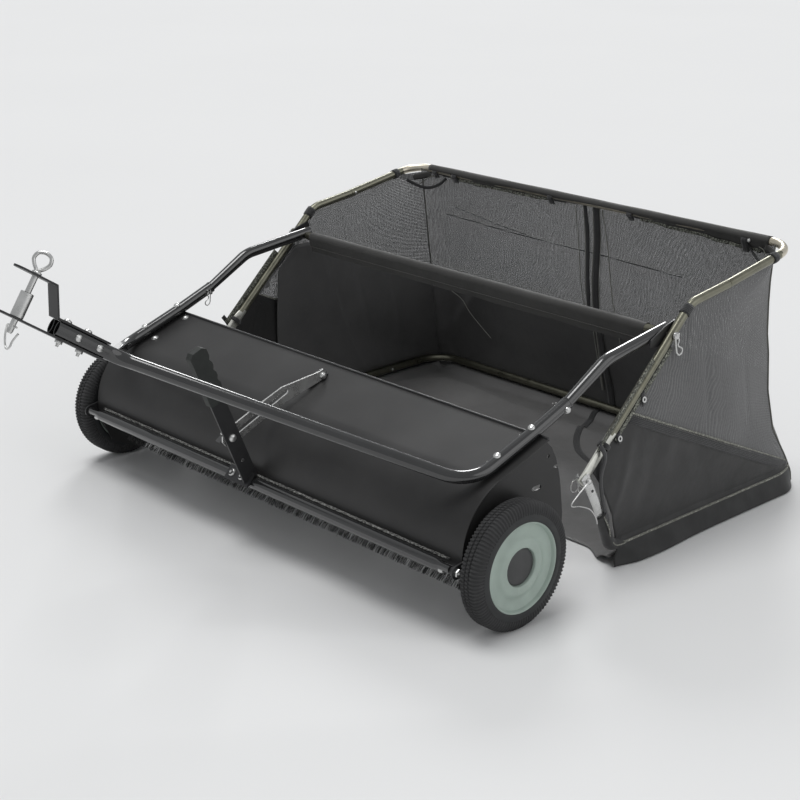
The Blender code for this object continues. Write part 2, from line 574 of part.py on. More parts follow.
def make_height_parts(height):
    half = PLATE_IN - 0.0027
    ends = [(-half, 0.008, 0.0125), (-half + 0.022, 0.008, 0.0125), (-half + 0.040, BAR_RADIUS, BAR_RADIUS)]
    stations = ends + [(-x, w, t) for x, w, t in ends[::-1]]
    path = [(x, BAR_Y, BAR_Z) for x, _, _ in stations]
    sizes = [(t, w) for _, w, t in stations]
    bar_way = (0, math.cos(math.radians(140)), math.sin(math.radians(140)))
    bores = together(*[rod("X", BAR_Y, BAR_Z, 0.0053, *sorted((s * (half - 0.02), s * (half + 0.02))),
                           12) for _, s in SIDES])
    piece("front_bar", swept(path, BAR_RADIUS, 14, bar_way, sizes), PAINT, height, cut=[bores])
    for side, s in SIDES:
        round_brush = circle(BRUSH_Y, BRUSH_Z, 0.030, 14)
        round_bar = circle(BAR_Y, BAR_Z, 0.0135, 12)
        outline = hull([tuple(p) for p in round_brush + circle(0, WHEEL_RADIUS, 0.019, 14) + round_bar])
        plate = prism(outline, "X", *sorted((s * (PLATE_OUT + 0.0035), s * (PLATE_OUT + 0.0075))))
        stud = rod("X", BAR_Y, BAR_Z, 0.0050, *sorted((s * (half - 0.0188), s * (PLATE_OUT + 0.0055))), 10)
        boss = rod("X", BAR_Y, BAR_Z, 0.0085, *sorted((s * (half + 0.0004), s * (PLATE_OUT + 0.0045))), 12)
        hole = rod("X", BRUSH_Y, BRUSH_Z, 0.0206, *sorted((s * (PLATE_OUT - 0.01), s * (PLATE_OUT + 0.02))),
                   18)
        foot, end = PLATE_OUT + 0.0020, WHEEL_IN + 0.0352
        axle = [(0, foot), (0.0115, foot), (0.0115, foot + 0.0030), (0.0080, foot + 0.0045),
                (0.0080, end - 0.0012), (0.0065, end), (0, end)]
        axle = lathe([(r, s * t) for r, t in axle], 0, WHEEL_RADIUS, steps=12)
        piece("wheel_bracket_" + side, plate, PAINT, height, add=[together(boss, axle), stud], cut=[hole])


def gear_outline(teeth, add, deep, tip_share, root_share, turn, a, b, inside=False):
    """Straight-sided teeth. The shares are of one tooth's pitch."""
    radius = teeth * MODULE / 2
    tip, root = (radius - add, radius + deep) if inside else (radius + add, radius - deep)
    pitch = 2 * math.pi / teeth
    found = []
    for i in range(teeth):
        for share, far in ((-root_share / 2, root), (-tip_share / 2, tip), (tip_share / 2, tip),
                           (root_share / 2, root)):
            t = turn + (i + share) * pitch
            found.append((a + far * math.cos(t), b + far * math.sin(t)))
    return found


def make_wheel(side, s, group):
    tyre = [(0.0906, 0.003), (0.0906, 0.047), (0.0935, 0.0495), (0.1040, 0.0500), (0.1200, 0.0470),
            (WHEEL_RADIUS, 0.0390), (WHEEL_RADIUS, 0.0110), (0.1200, 0.0030), (0.1040, 0.0000),
            (0.0935, 0.0005)]
    place = (0, WHEEL_RADIUS)
    piece("tyre_" + side, lathe([(r, s * (WHEEL_IN + t)) for r, t in tyre], *place, steps=28), RUBBER, group)
    rim = [(0.0900, 0.0030), (0.0900, 0.0480), (0.0870, 0.0490), (0.0840, 0.0420), (0.0640, 0.0385),
           (0.0560, 0.0425), (0.0385, 0.0440), (0.0370, 0.0365), (0.0084, 0.0365), (0.0084, 0.0060),
           (0.0160, 0.0060), (0.0170, 0.0320), (0.0560, 0.0360), (0.0840, 0.0350),
           (0.0865, 0.0280), (0.0865, 0.0030)]
    piece("rim_" + side, lathe([(r, s * (WHEEL_IN + t)) for r, t in rim], *place, steps=24), PALE, group)
    facing = math.atan2(BRUSH_Z - WHEEL_RADIUS, BRUSH_Y)
    outer = circle(*place, 0.0857, 28)
    teeth = gear_outline(RING_TEETH, 0.0022, 0.0030, 0.22, 0.55, facing + math.pi / RING_TEETH, *place,
                         inside=True)
    x = sorted((s * (WHEEL_IN + 0.0040), s * (WHEEL_IN + 0.0160)))
    wide = sorted((s * (WHEEL_IN - 0.01), s * (WHEEL_IN + 0.05)))
    piece("ring_gear_" + side, prism(outer, "X", *x), GEAR, group, cut=[prism(teeth, "X", *wide)])
    cap = [(0, 0.0368), (0.0340, 0.0368), (0.0340, 0.0400), (0.0300, 0.0420), (0.0140, 0.0425),
           (0.0120, 0.0450),
           (0, 0.0455)]
    piece("hub_cap_" + side, lathe([(r, s * (WHEEL_IN + t)) for r, t in cap], *place, steps=14), BLACK, group)


def make_brush(group):
    half, end = PLATE_IN - 0.0215, WHEEL_IN + 0.0180
    profile = [(0, -end), (0.0080, -end), (0.0080, -half), (0.0225, -half), (0.0225, half), (0.0080, half),
               (0.0080, end), (0, end)]
    piece("brush_shaft", lathe(profile, BRUSH_Y, BRUSH_Z, steps=16), ZINC, group)
    facing = math.atan2(BRUSH_Z - WHEEL_RADIUS, BRUSH_Y)
    for side, s in SIDES:
        teeth = gear_outline(PINION_TEETH, 0.0022, 0.0030, 0.20, 0.62, facing, BRUSH_Y, BRUSH_Z)
        x = sorted((s * (WHEEL_IN + 0.0025), s * (WHEEL_IN + 0.0175)))
        bore = rod("X", BRUSH_Y, BRUSH_Z, 0.0082, *sorted((s * (WHEEL_IN - 0.01), s * (WHEEL_IN + 0.03))), 16)
        piece("pinion_" + side, prism(teeth, "X", *x), GEAR, group, cut=[bore])
    strips, tufts = 4, 75
    reach = BRUSH_RADIUS
    for number in range(strips):
        t = 2 * math.pi * (number + 0.5) / strips
        out, round_way = Vector((math.cos(t), math.sin(t))), Vector((-math.sin(t), math.cos(t)))
        centre = Vector((BRUSH_Y, BRUSH_Z))

        def at(x, wide, far):
            p = centre + out * far + round_way * wide
            return (x, p.x, p.y)

        corners = [(-0.009, 0.0228), (0.009, 0.0228), (0.009, 0.026), (0.005, 0.034), (-0.005, 0.034),
                   (-0.009, 0.026)]
        low = [at(-half + 0.004, w, f) for w, f in corners]
        high = [at(half - 0.004, w, f) for w, f in corners]
        n = len(corners)
        faces = [list(range(n)), list(range(n, 2 * n))]
        faces += [[i, (i + 1) % n, n + (i + 1) % n, n + i] for i in range(n)]
        shafts = []
        for k in range(tufts):
            x = -half + 0.014 + (2 * half - 0.028) * k / (tufts - 1)
            lean = 0.004 * math.sin(2.3 * k + number)
            root = [at(x + 0.0056 * math.cos(u), 0.0036 * math.sin(u), 0.031) for u in (0, 2.0944, 4.1888)]
            tip = [at(x + lean, 0, reach)]
            shafts.append((root + tip, [[0, 1, 2], [0, 1, 3], [1, 2, 3], [2, 0, 3]]))
        piece(f"brush_strip_{number + 1}", (low + high, faces), BRISTLE, group, add=[together(*shafts)])


def make_hopper(group):
    for side, s in SIDES:
        x = s * SIDE_X
        path = rounded([(x, 0.236, 0.2085), (x, 0.552, 0.510), (x, 0.673, 0.5265)], [0.060], 4)
        path[1:1] = [path[0].lerp(path[1], 0.22), path[0].lerp(path[1], 0.29)]
        sizes = [(0.0045, 0.0125)] * 2 + [(SIDE_RADIUS, SIDE_RADIUS)] * (len(path) - 2)
        way = (path[-1] - path[-2]).normalized()
        bore = swept([path[-1] + way * 0.01, path[-1] - way * 0.040], 0.0080, 12)
        through = rod("X", PIVOT_Y, PIVOT_Z, 0.0046, *sorted((s * (TUBE_X - 0.03), s * (TUBE_X + 0.06))), 12)
        low = rod("X", LOW_PIN_Y, LOW_PIN_Z, 0.0033, *sorted((s * (SIDE_X - 0.05), s * (SIDE_X + 0.04))), 10)
        piece("hopper_side_tube_" + side, swept(path, SIDE_RADIUS, 10, (1, 0, 0), sizes), GALVANISED, group,
              cut=[bore, together(through, low)])
    joint = Vector((SIDE_X, 0.673, 0.5265))
    way = (Vector((SIDE_X, 0.801, 0.549)) - joint).normalized()
    turn = (SIDE_X, 0.900, 0.5664)
    start = joint - (joint - Vector((SIDE_X, 0.552, 0.510))).normalized() * 0.036
    right = [start, joint + way * 0.0006, joint + way * 0.005, turn]
    left = [Vector((-p[0], p[1], p[2])) for p in right[::-1]]
    path = rounded([*right, *left], [0, 0, 0.055, 0.055, 0, 0], 5)
    n = len(path)
    sizes = [(0.0077, 0.0077)] * 2 + [(SIDE_RADIUS, SIDE_RADIUS)] * (n - 4) + [(0.0077, 0.0077)] * 2
    piece("hopper_top_tube", swept(path, SIDE_RADIUS, 10, None, sizes), GALVANISED, group)
    for side, s in SIDES:
        x = s * RAIL_X
        top_z, turn_z = LOW_PIN_Z + 0.0090, LOW_PIN_Z - 0.0600
        path = rounded([(s * UPRIGHT_X, LOW_PIN_Y + (LOW_PIN_Z - top_z) * UPRIGHT_TURN, top_z),
                        (s * UPRIGHT_X, LOW_PIN_Y + (LOW_PIN_Z - turn_z) * UPRIGHT_TURN, turn_z),
                        (s * (RAIL_X + 0.0060), UPRIGHT_FOOT_Y, UPRIGHT_FOOT_Z),
                        (x, UPRIGHT_FOOT_Y + 0.045, RAIL_Z), (x, 0.785, RAIL_Z)], [0, 0.030, 0.030], 5)
        sizes = [(0.0042, 0.0115)] * 2 + [(RAIL_RADIUS, RAIL_RADIUS)] * (len(path) - 2)
        bore = swept([path[-1] + Vector((0, 0.01, 0)), path[-1] - Vector((0, 0.040, 0))], 0.0080, 12)
        low = rod("X", LOW_PIN_Y, LOW_PIN_Z, 0.0033, *sorted((s * (SIDE_X - 0.05), s * (SIDE_X + 0.04))), 10)
        piece("floor_rail_" + side, swept(path, RAIL_RADIUS, 10, (1, 0, 0), sizes), ZINC, group,
              cut=[bore, low])
        inner, outer = s * (SIDE_X - 0.0180), s * (UPRIGHT_X + 0.0065)
        pin = rod("X", LOW_PIN_Y, LOW_PIN_Z, 0.0030, *sorted((inner, outer)), 10)
        head = dome("X", LOW_PIN_Y, LOW_PIN_Z, s * (UPRIGHT_X + 0.0045), s * (UPRIGHT_X + 0.0100), 0.0070)
        ring = ring_of((s * (SIDE_X - 0.0150), LOW_PIN_Y - 0.007, LOW_PIN_Z - 0.016), (1, 0, 0), 0.0130,
                       0.0013, 9, 3)
        stem = rod("Z", s * (SIDE_X - 0.0150), LOW_PIN_Y, 0.0014, LOW_PIN_Z - 0.012, LOW_PIN_Z + 0.007, 6)
        piece("lower_pin_" + side, pin, ZINC, group, add=[head, stem, ring])
    start = Vector((RAIL_X, 0.785 - 0.036, RAIL_Z))
    right = [start, Vector((RAIL_X, 0.7856, RAIL_Z)), Vector((RAIL_X, 0.790, RAIL_Z)),
             Vector((RAIL_X, REAR_TUBE_Y, RAIL_Z))]
    left = [Vector((-p[0], p[1], p[2])) for p in right[::-1]]
    path = rounded([*right, *left], [0, 0, 0.070, 0.070, 0, 0], 5)
    n = len(path)
    sizes = [(0.0077, 0.0077)] * 2 + [(RAIL_RADIUS, RAIL_RADIUS)] * (n - 4) + [(0.0077, 0.0077)] * 2
    piece("floor_rear_tube", swept(path, RAIL_RADIUS, 10, None, sizes), GALVANISED, group)
    bores = together(*[rod("X", PIVOT_Y, PIVOT_Z, 0.0046, *sorted((s * (SIDE_X - 0.08), s * (SIDE_X - 0.02))),
                           12) for _, s in SIDES])
    piece("cross_tube", rod("X", PIVOT_Y, PIVOT_Z, SIDE_RADIUS, 0.0435 - SIDE_X, SIDE_X - 0.0435, 16),
          GALVANISED, group, cut=[bores])
    hang = arc(PIVOT_Y, PIVOT_Z, 0.0125, -10, 190, 10)
    hang += [(PIVOT_Y - 0.0100, PIVOT_Z - 0.022), (PIVOT_Y - 0.0045, PIVOT_Z - 0.034),
             (PIVOT_Y + 0.0010, PIVOT_Z - 0.036),
             (PIVOT_Y + 0.0090, PIVOT_Z - 0.020)]
    piece("cross_sleeve", prism(hang, "X", 0.0620 - SIDE_X, SIDE_X - 0.0620), FABRIC, group,
          cut=[rod("X", PIVOT_Y, PIVOT_Z, SIDE_RADIUS + 0.0004, -0.6, 0.6, 16)])


def make_pivots(root, hopper):
    for side, s in SIDES:
        ends = circle(0.452, 0.4440, 0.0100, 12) + circle(0.518, 0.4720, 0.0090, 12)
        outline = hull([tuple(p) for p in circle(0.495, PIVOT_Z, 0.0185, 16) + ends])
        hole = rod("X", PIVOT_Y, PIVOT_Z, 0.0046, *sorted((s * (SIDE_X - 0.03), s * (SIDE_X + 0.02))), 12)
        piece("pivot_bracket_" + side, prism(outline, "X",
                                             *sorted((s * (SIDE_X - 0.0133),
                                                      s * (SIDE_X - 0.0099)))), BLACK, root, cut=[hole])
        tip, head = SIDE_X - 0.0690, SIDE_X + 0.0108
        pin = [(0, tip), (0.0043, tip), (0.0043, head), (0.0090, head), (0.0088, head + 0.0022),
               (0.0055, head + 0.0057), (0, head + 0.0067)]
        piece("pivot_pin_" + side, lathe([(r, s * t) for r, t in pin], PIVOT_Y, PIVOT_Z, steps=14), ZINC,
              hopper)


def side_height(y):
    """Middle height of the upper side tube at y."""
    if y < 0.552:
        return 0.2085 + (0.510 - 0.2085) * (y - 0.236) / (0.552 - 0.236)
    if y < 0.673:
        return 0.510 + (0.5265 - 0.510) * (y - 0.552) / (0.673 - 0.552)
    return 0.5265 + (0.5664 - 0.5265) * (y - 0.673) / (0.900 - 0.673)


def make_bag(group):
    """The bag's four panels stand a small gap apart, so that each is a node of its own."""
    top_y, low_y = PANEL_TOP_Y, PANEL_LOW_Y
    high_z, low_z = PANEL_TOP_Z, CLOTH + 4 * GAP

    def corner_pull(v):
        """How far the rear edges curve in towards the middle."""
        return CORNER_PULL * math.sin(math.pi * min(1.0, max(0.0, v))) ** 1.5

    def back_edge(v):
        z = high_z + (low_z - high_z) * v
        y = top_y + (low_y - top_y) * v - BACK_SAG * math.sin(math.pi * v) ** 3
        return y, z

    side_rows = [0, 0.06, 0.2, 0.4, 0.6, 0.8, 1]
    for side, s in SIDES:
        def side_point(u, v):
            v = side_rows[round(v * 6)]
            start = LOW_PIN_Y + 0.019 + (UPRIGHT_FOOT_Y - LOW_PIN_Y) * min(1.0, 1.3 * v)
            end_y, _ = back_edge(v)
            y = start + (end_y - 0.0022 - start) * u
            top = side_height(min(y, 0.900)) + 0.004
            z = top + (low_z - top) * v
            near_end = max(0.0, (u - 0.86) / 0.14) ** 2
            x = SIDE_CLOTH_X + 0.006 * math.sin(math.pi * v) * math.sin(math.pi * u) ** 0.7
            x -= corner_pull(v) * near_end
            return (s * x, y, z)
        piece("side_cloth_" + side, cloth(side_point, 10, 6), MESH_CLOTH, group,
              cut=[rod("X", PIVOT_Y, PIVOT_Z, 0.013,
                       *sorted((s * (SIDE_CLOTH_X - 0.02), s * (SIDE_CLOTH_X + 0.02))), 12)])

    rows = [0, 0.08, 0.25, 0.5, 0.75, 0.9, 1]

    def back_point(u, v):
        v = rows[round(v * 6)]
        y, z = back_edge(v)
        half = SIDE_CLOTH_X - CLOTH / 2 - 3 * GAP - corner_pull(v)
        x = -half + 2 * half * u
        crease = 0.006 * math.sin(9 * u * math.pi) * math.sin(math.pi * v) ** 2 * math.sin(math.pi * u)
        return (x, y + crease, z)
    piece("back_cloth", cloth(back_point, 14, 6), FABRIC, group)

    under_rail = RAIL_Z - RAIL_RADIUS - GAP - CLOTH / 2
    on_ground = CLOTH / 2 + 0.0001
    halves = [0, 0.26, RAIL_X - 0.037, RAIL_X - 0.012, RAIL_X, SIDE_CLOTH_X - 0.0085]
    across = [-x for x in halves[:0:-1]] + halves
    down = [FLOOR_FRONT_Y, FLOOR_FRONT_Y + 0.08, HUMP_Y - 0.14, HUMP_Y - 0.06, HUMP_Y, HUMP_Y + 0.06,
            HUMP_Y + 0.14,
            REAR_TUBE_Y - 0.105, REAR_TUBE_Y - 0.028, REAR_TUBE_Y - 0.012, REAR_TUBE_Y,
            PANEL_LOW_Y - CLOTH - 0.0034]

    def floor_point(u, v):
        x, y = across[round(u * (len(across) - 1))], down[round(v * (len(down) - 1))]
        hump = 0.014 * math.exp(-((y - HUMP_Y) / 0.07) ** 2) * max(0.0, 1 - abs(x / RAIL_X)) ** 0.5
        z = on_ground + hump
        if abs(x) > RAIL_X - 0.02 or y > REAR_TUBE_Y - 0.02:
            z = under_rail
        return (x, y, z)
    piece("floor_cloth", cloth(floor_point, len(across) - 1, len(down) - 1), FABRIC, group)


def main():
    for old in list(bpy.data.objects):
        bpy.data.objects.remove(old)
    machine = empty("machine", (0, 0, 0))
    machine.location = (0, AXLE_Y, 0)
    height = empty("height_axis", (0, BRUSH_Y, BRUSH_Z), machine)
    strap = empty("strap_axis", (0, *STRAP_PIVOT), machine)
    knob = empty("knob_axis", (0, *CLAMP), height)
    brush = empty("brush_axis", (0, BRUSH_Y, BRUSH_Z), machine)
    pin = empty("hitch_pin_axis", tongue(0.856, 0.16), machine)
    hopper = empty("hopper_axis", (0, PIVOT_Y, PIVOT_Z), machine)
    make_housing(machine)
    make_tow_frame(machine)
    make_hitch(machine, pin)
    make_strap_and_lever(machine, height, strap, knob)
    make_height_parts(height)
    for side, s in SIDES:
        wheel = empty("wheel_axis_" + side, (s * (WHEEL_IN + 0.025), 0, WHEEL_RADIUS), height)
        make_wheel(side, s, wheel)
    make_brush(brush)
    make_hopper(hopper)
    make_pivots(machine, hopper)
    make_bag(hopper)


main()
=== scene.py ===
"""Looks for the tow-behind lawn sweeper: smooth metal work, tyres, bristles, and the sewn bag.

Points are given from the wheel axle, as in the part's source: y is 0 at the axle and z is 0 on the ground.
place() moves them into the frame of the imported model.
"""
import math
import random

import bmesh
import bpy
from mathutils import Matrix, Vector


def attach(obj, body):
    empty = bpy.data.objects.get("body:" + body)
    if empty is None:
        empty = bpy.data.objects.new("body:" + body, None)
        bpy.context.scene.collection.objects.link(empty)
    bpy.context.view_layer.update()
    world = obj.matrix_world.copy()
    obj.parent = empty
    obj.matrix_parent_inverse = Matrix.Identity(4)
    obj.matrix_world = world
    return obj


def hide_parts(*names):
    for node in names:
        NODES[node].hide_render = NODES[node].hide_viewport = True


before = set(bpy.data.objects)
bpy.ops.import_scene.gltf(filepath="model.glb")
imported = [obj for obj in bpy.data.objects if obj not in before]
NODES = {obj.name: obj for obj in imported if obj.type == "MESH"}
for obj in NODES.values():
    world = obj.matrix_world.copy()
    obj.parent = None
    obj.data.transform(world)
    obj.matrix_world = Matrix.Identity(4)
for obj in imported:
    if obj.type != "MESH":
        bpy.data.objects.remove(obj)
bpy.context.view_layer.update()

# Sizes are in metres and angles in degrees, apart from THIRD_TURN
AXLE_Y = -0.16355
SIDES = (("left", 1), ("right", -1))
WHEEL_RADIUS, WHEEL_IN = 0.127, 0.604
BRUSH_Y, BRUSH_Z, BRUSH_RADIUS = 0.04, 0.1453, 0.125
PLATE_OUT = 0.5895
SHELL_Y, SHELL_Z, SHELL_RADIUS, SHEET = 0.042, 0.15, 0.14, 0.002
LIP_ANGLE, ROLL_END_ANGLE = 186, 107
TOP_REAR = (0.131, 0.329)
BAR_RADIUS, BAR_Y, BAR_Z = 0.0125, -0.1168, 0.1368
TUBE_X, TUBE_RADIUS = 0.56, 0.0127
TONGUE_ANGLE, TONGUE_AXIS = 33.7, 0.159
PIN_C = (0.2, 0.3665)
SIDE_X, SIDE_RADIUS = 0.582, 0.0095
RAIL_X, RAIL_Z, RAIL_RADIUS = 0.572, 0.036, 0.0095
PIVOT_Y, PIVOT_Z = 0.495, 0.4555
LOW_PIN_Y, LOW_PIN_Z = 0.243, 0.215
UPRIGHT_X = 0.591
REAR_TUBE_Y = 0.985
SIDE_FOOT, SIDE_BEND, SIDE_JOINT = (0.236, 0.2085), (0.552, 0.51), (0.673, 0.5265)
BAR_REAR_Y, BAR_TOP_Z = 0.9, 0.5664
HITCH_PIN_AT, HITCH_HALF, STRAP_TOP = 0.856, 0.0143, 0.2295
BORE_WALL, PLUG_RADIUS = 0.0016, 0.0079
BRUSH_HALF, TUFTS, HAIRS, TUFT_ROOT = 0.565, 118, 11, 0.0325
OVER_RAIL_Z, TARP_BEND = 0.052, 0.62  # where the side cloth reaches the rail: a height, and its share of v
LINER_INSET = 0.0105
FLOOR_REAR_Y, FLOOR_HALF = 0.994, RAIL_X + 0.005
SPARE_WIDTH = 1.001  # a raised sheet width is this many times what the area needs
THIRD_TURN = 2.0944


def place(p):
    return Vector((p[0], p[1] + AXLE_Y, p[2]))


def clip(value):
    return min(1.0, max(0.0, value))


def arch(value):
    """Rises from 0 to 1 at the middle and falls again."""
    return math.sin(math.pi * value)


def bell(off, width):
    """1 where off is 0, and falling to both sides."""
    return math.exp(-(off / width) ** 2)


def ease(value):
    """A smooth step from 0 to 1."""
    value = clip(value)
    return value * value * (3 - 2 * value)


def evenly(first, last, steps):
    """steps + 1 numbers from first to last."""
    return [first + (last - first) * i / steps for i in range(steps + 1)]


# Camera, at the viewing angle solved for this object

FILM, LENS = 36.0, 76.91
CAMERA_TURN, CAMERA_RISE = 46.887, 19.42
CAMERA_AT = (2.5857, -2.1207, 1.4641)


def make_camera():
    data = bpy.data.cameras.new("camera")
    data.sensor_width, data.lens = FILM, LENS
    camera = bpy.data.objects.new("camera", data)
    bpy.context.scene.collection.objects.link(camera)
    turn, rise = math.radians(CAMERA_TURN), math.radians(CAMERA_RISE)
    right = Vector((math.cos(turn), math.sin(turn), 0))
    ahead = Vector((-math.sin(turn) * math.cos(rise), math.cos(turn) * math.cos(rise), -math.sin(rise)))
    up = right.cross(ahead)
    at = place(CAMERA_AT)
    rows = [(right[i], up[i], -ahead[i], at[i]) for i in range(3)] + [(0, 0, 0, 1)]
    camera.matrix_world = Matrix(rows)
    bpy.context.scene.camera = camera


# Materials

class Look:
    """A material on one Principled shader, with short calls for the nodes that feed it."""

    def __init__(self, name):
        self.material = bpy.data.materials.new(name)
        self.material.use_nodes = True
        self.tree = self.material.node_tree
        self.shader = self.tree.nodes["Principled BSDF"]
        self.coords = self.tree.nodes.new("ShaderNodeTexCoord")
        self.here = self.coords.outputs["Object"]
        self.cut = self.coords.outputs["UV"]

    def node(self, kind, inputs=(), **settings):
        made = self.tree.nodes.new(kind)
        for key, value in settings.items():
            setattr(made, key, value)
        for key, value in dict(inputs).items():
            self.put(made.inputs[key], value)
        return made

    def put(self, socket, value):
        if isinstance(value, bpy.types.NodeSocket):
            self.tree.links.new(value, socket)
        else:
            socket.default_value = value

    def set(self, **values):
        for key, value in values.items():
            self.put(self.shader.inputs[key.replace("_", " ")], value)
        return self

    def noise(self, scale, detail=3.0, rough=0.55):
        sockets = {"Vector": self.here, "Scale": scale, "Detail": detail, "Roughness": rough}
        return self.node("ShaderNodeTexNoise", sockets).outputs["Fac"]

    def math(self, operation, a, b=0.0, c=0.0):
        made = self.node("ShaderNodeMath", operation=operation)
        for i, value in enumerate((a, b, c)):
            self.put(made.inputs[i], value)
        return made.outputs[0]

    def times(self, a, b):
        return self.math("MULTIPLY", a, b)

    def plus(self, a, b):
        return self.math("ADD", a, b)

    def span(self, value, low, high, out_low=0.0, out_high=1.0):
        sockets = {"Value": value, "From Min": low, "From Max": high, "To Min": out_low, "To Max": out_high}
        return self.node("ShaderNodeMapRange", sockets).outputs[0]

    def mix(self, share, a, b):
        made = self.node("ShaderNodeMix", data_type="RGBA")
        colour = [s for s in made.inputs if s.type == "RGBA"]
        self.put(made.inputs[0], share)
        self.put(colour[0], (*a, 1) if isinstance(a, tuple) else a)
        self.put(colour[1], (*b, 1) if isinstance(b, tuple) else b)
        return [s for s in made.outputs if s.type == "RGBA"][0]

    def over(self, tone, other, value, low, high, most):
        """Another colour over tone, where value goes from low to high. Its share ends at most."""
        return self.mix(self.span(value, low, high, 0.0, most), tone, other)

    def bump(self, height, strength=0.3, distance=0.0005, under=None):
        sockets = {"Height": height, "Strength": strength, "Distance": distance}
        if under:
            sockets["Normal"] = under
        return self.node("ShaderNodeBump", sockets).outputs[0]

    def parts(self, at):
        made = self.node("ShaderNodeSeparateXYZ", {"Vector": at})
        return made.outputs[0], made.outputs[1], made.outputs[2]

    def wave(self, value, pitch):
        """A sine from 0 to 1 that repeats each pitch."""
        turned = self.times(value, 2 * math.pi / pitch)
        return self.math("MULTIPLY_ADD", self.math("SINE", turned), 0.5, 0.5)


def tint(colour, times, more=0.0):
    """A paler or darker form of a colour."""
    return tuple(min(1.0, c * times + more) for c in colour)


def paint(name, colour, rough, grain, coat=0.0, shine=0.5):
    """Powder coat: fine orange peel, faint dust and slight changes of tone."""
    look = Look(name)
    cloud = look.noise(5.0, 4.0, 0.6)
    dust = look.noise(60.0, 5.0, 0.65)
    peel = look.noise(900.0, 2.0, 0.5)
    tone = look.mix(look.span(cloud, 0.3, 0.7), tint(colour, 0.86), tint(colour, 1.22, 0.004))
    tone = look.over(tone, tint(colour, 1.0, 0.05), dust, 0.62, 0.85, 0.22)
    look.set(Base_Color=tone, Metallic=0.0, Coat_Weight=coat, Coat_Roughness=0.12, Specular_IOR_Level=shine)
    look.set(Roughness=look.span(look.plus(cloud, look.times(dust, 0.5)), 0.4, 1.1, rough - 0.05, rough + 0.07))
    look.set(Normal=look.bump(peel, grain, 0.0003, look.bump(cloud, 0.05, 0.002)))
    return look.material


def plated(name, colour, rough, stain=(0.3, 0.28, 0.22), amount=0.35):
    """Zinc plate or galvanising: bright metal with cloudy patches, fine scratches and dull stains."""
    look = Look(name)
    cloud = look.noise(28.0, 5.0, 0.6)
    fine = look.noise(420.0, 3.0, 0.6)
    patch = look.noise(9.0, 4.0, 0.7)
    tone = look.mix(look.span(cloud, 0.35, 0.68), tint(colour, 0.78), colour)
    tone = look.over(tone, stain, patch, 0.52, 0.75, amount)
    look.set(Base_Color=tone, Metallic=0.92)
    look.set(Roughness=look.span(look.plus(cloud, look.times(fine, 0.6)), 0.45, 1.15, rough - 0.09, rough + 0.14))
    look.set(Normal=look.bump(fine, 0.22, 0.0002, look.bump(cloud, 0.1, 0.0006)))
    return look.material


def moulded(name, colour, rough, swirl=0.0, grain=0.15):
    """Moulded plastic or rubber: slight mottling, a fine grain and a dusty bloom."""
    look = Look(name)
    cloud = look.noise(14.0, 4.0, 0.6)
    grit = look.noise(700.0, 3.0, 0.6)
    scuff = look.noise(45.0, 5.0, 0.7)
    share = look.span(cloud, 0.32, 0.68)
    if swirl:
        bent = look.node("ShaderNodeTexNoise", {"Vector": look.here, "Scale": 6.0, "Detail": 2.0, "Distortion": 2.2})
        share = look.plus(look.times(share, 0.4), look.span(bent.outputs["Fac"], 0.35, 0.65, 0.0, swirl))
    tone = look.mix(share, tint(colour, 0.82), tint(colour, 1.12))
    tone = look.over(tone, tint(colour, 1.5, 0.03), scuff, 0.6, 0.82, 0.25)
    look.set(Base_Color=tone, Roughness=look.span(scuff, 0.3, 0.75, rough - 0.07, rough + 0.12))
    look.set(Normal=look.bump(grit, grain, 0.0003, look.bump(cloud, 0.12, 0.0015)))
    return look.material


def tarpaulin(name, colour, rough=0.62):
    """Coated cloth: a close plain weave under a smooth coat, soft wrinkles and a little chalky wear."""
    look = Look(name)
    u, v, _ = look.parts(look.cut)
    over, across = look.wave(u, 0.0022), look.wave(v, 0.0022)
    yarns = look.times(over, across)
    cloud = look.noise(3.5, 4.0, 0.6)
    crumple = look.noise(16.0, 3.0, 0.55)
    chalk = look.noise(70.0, 5.0, 0.7)
    tone = look.mix(look.span(cloud, 0.3, 0.7), tint(colour, 0.8), tint(colour, 1.25))
    tone = look.over(tone, tint(colour, 2.0, 0.02), chalk, 0.58, 0.85, 0.22)
    tone = look.mix(look.times(yarns, 0.25), tone, tint(colour, 0.5))
    look.set(Base_Color=tone, Roughness=look.span(crumple, 0.3, 0.7, rough - 0.08, rough + 0.1))
    look.set(Sheen_Weight=0.15, Sheen_Roughness=0.5, Specular_IOR_Level=0.45)
    look.set(Normal=look.bump(yarns, 0.25, 0.0004, look.bump(crumple, 0.3, 0.006)))
    return look.material


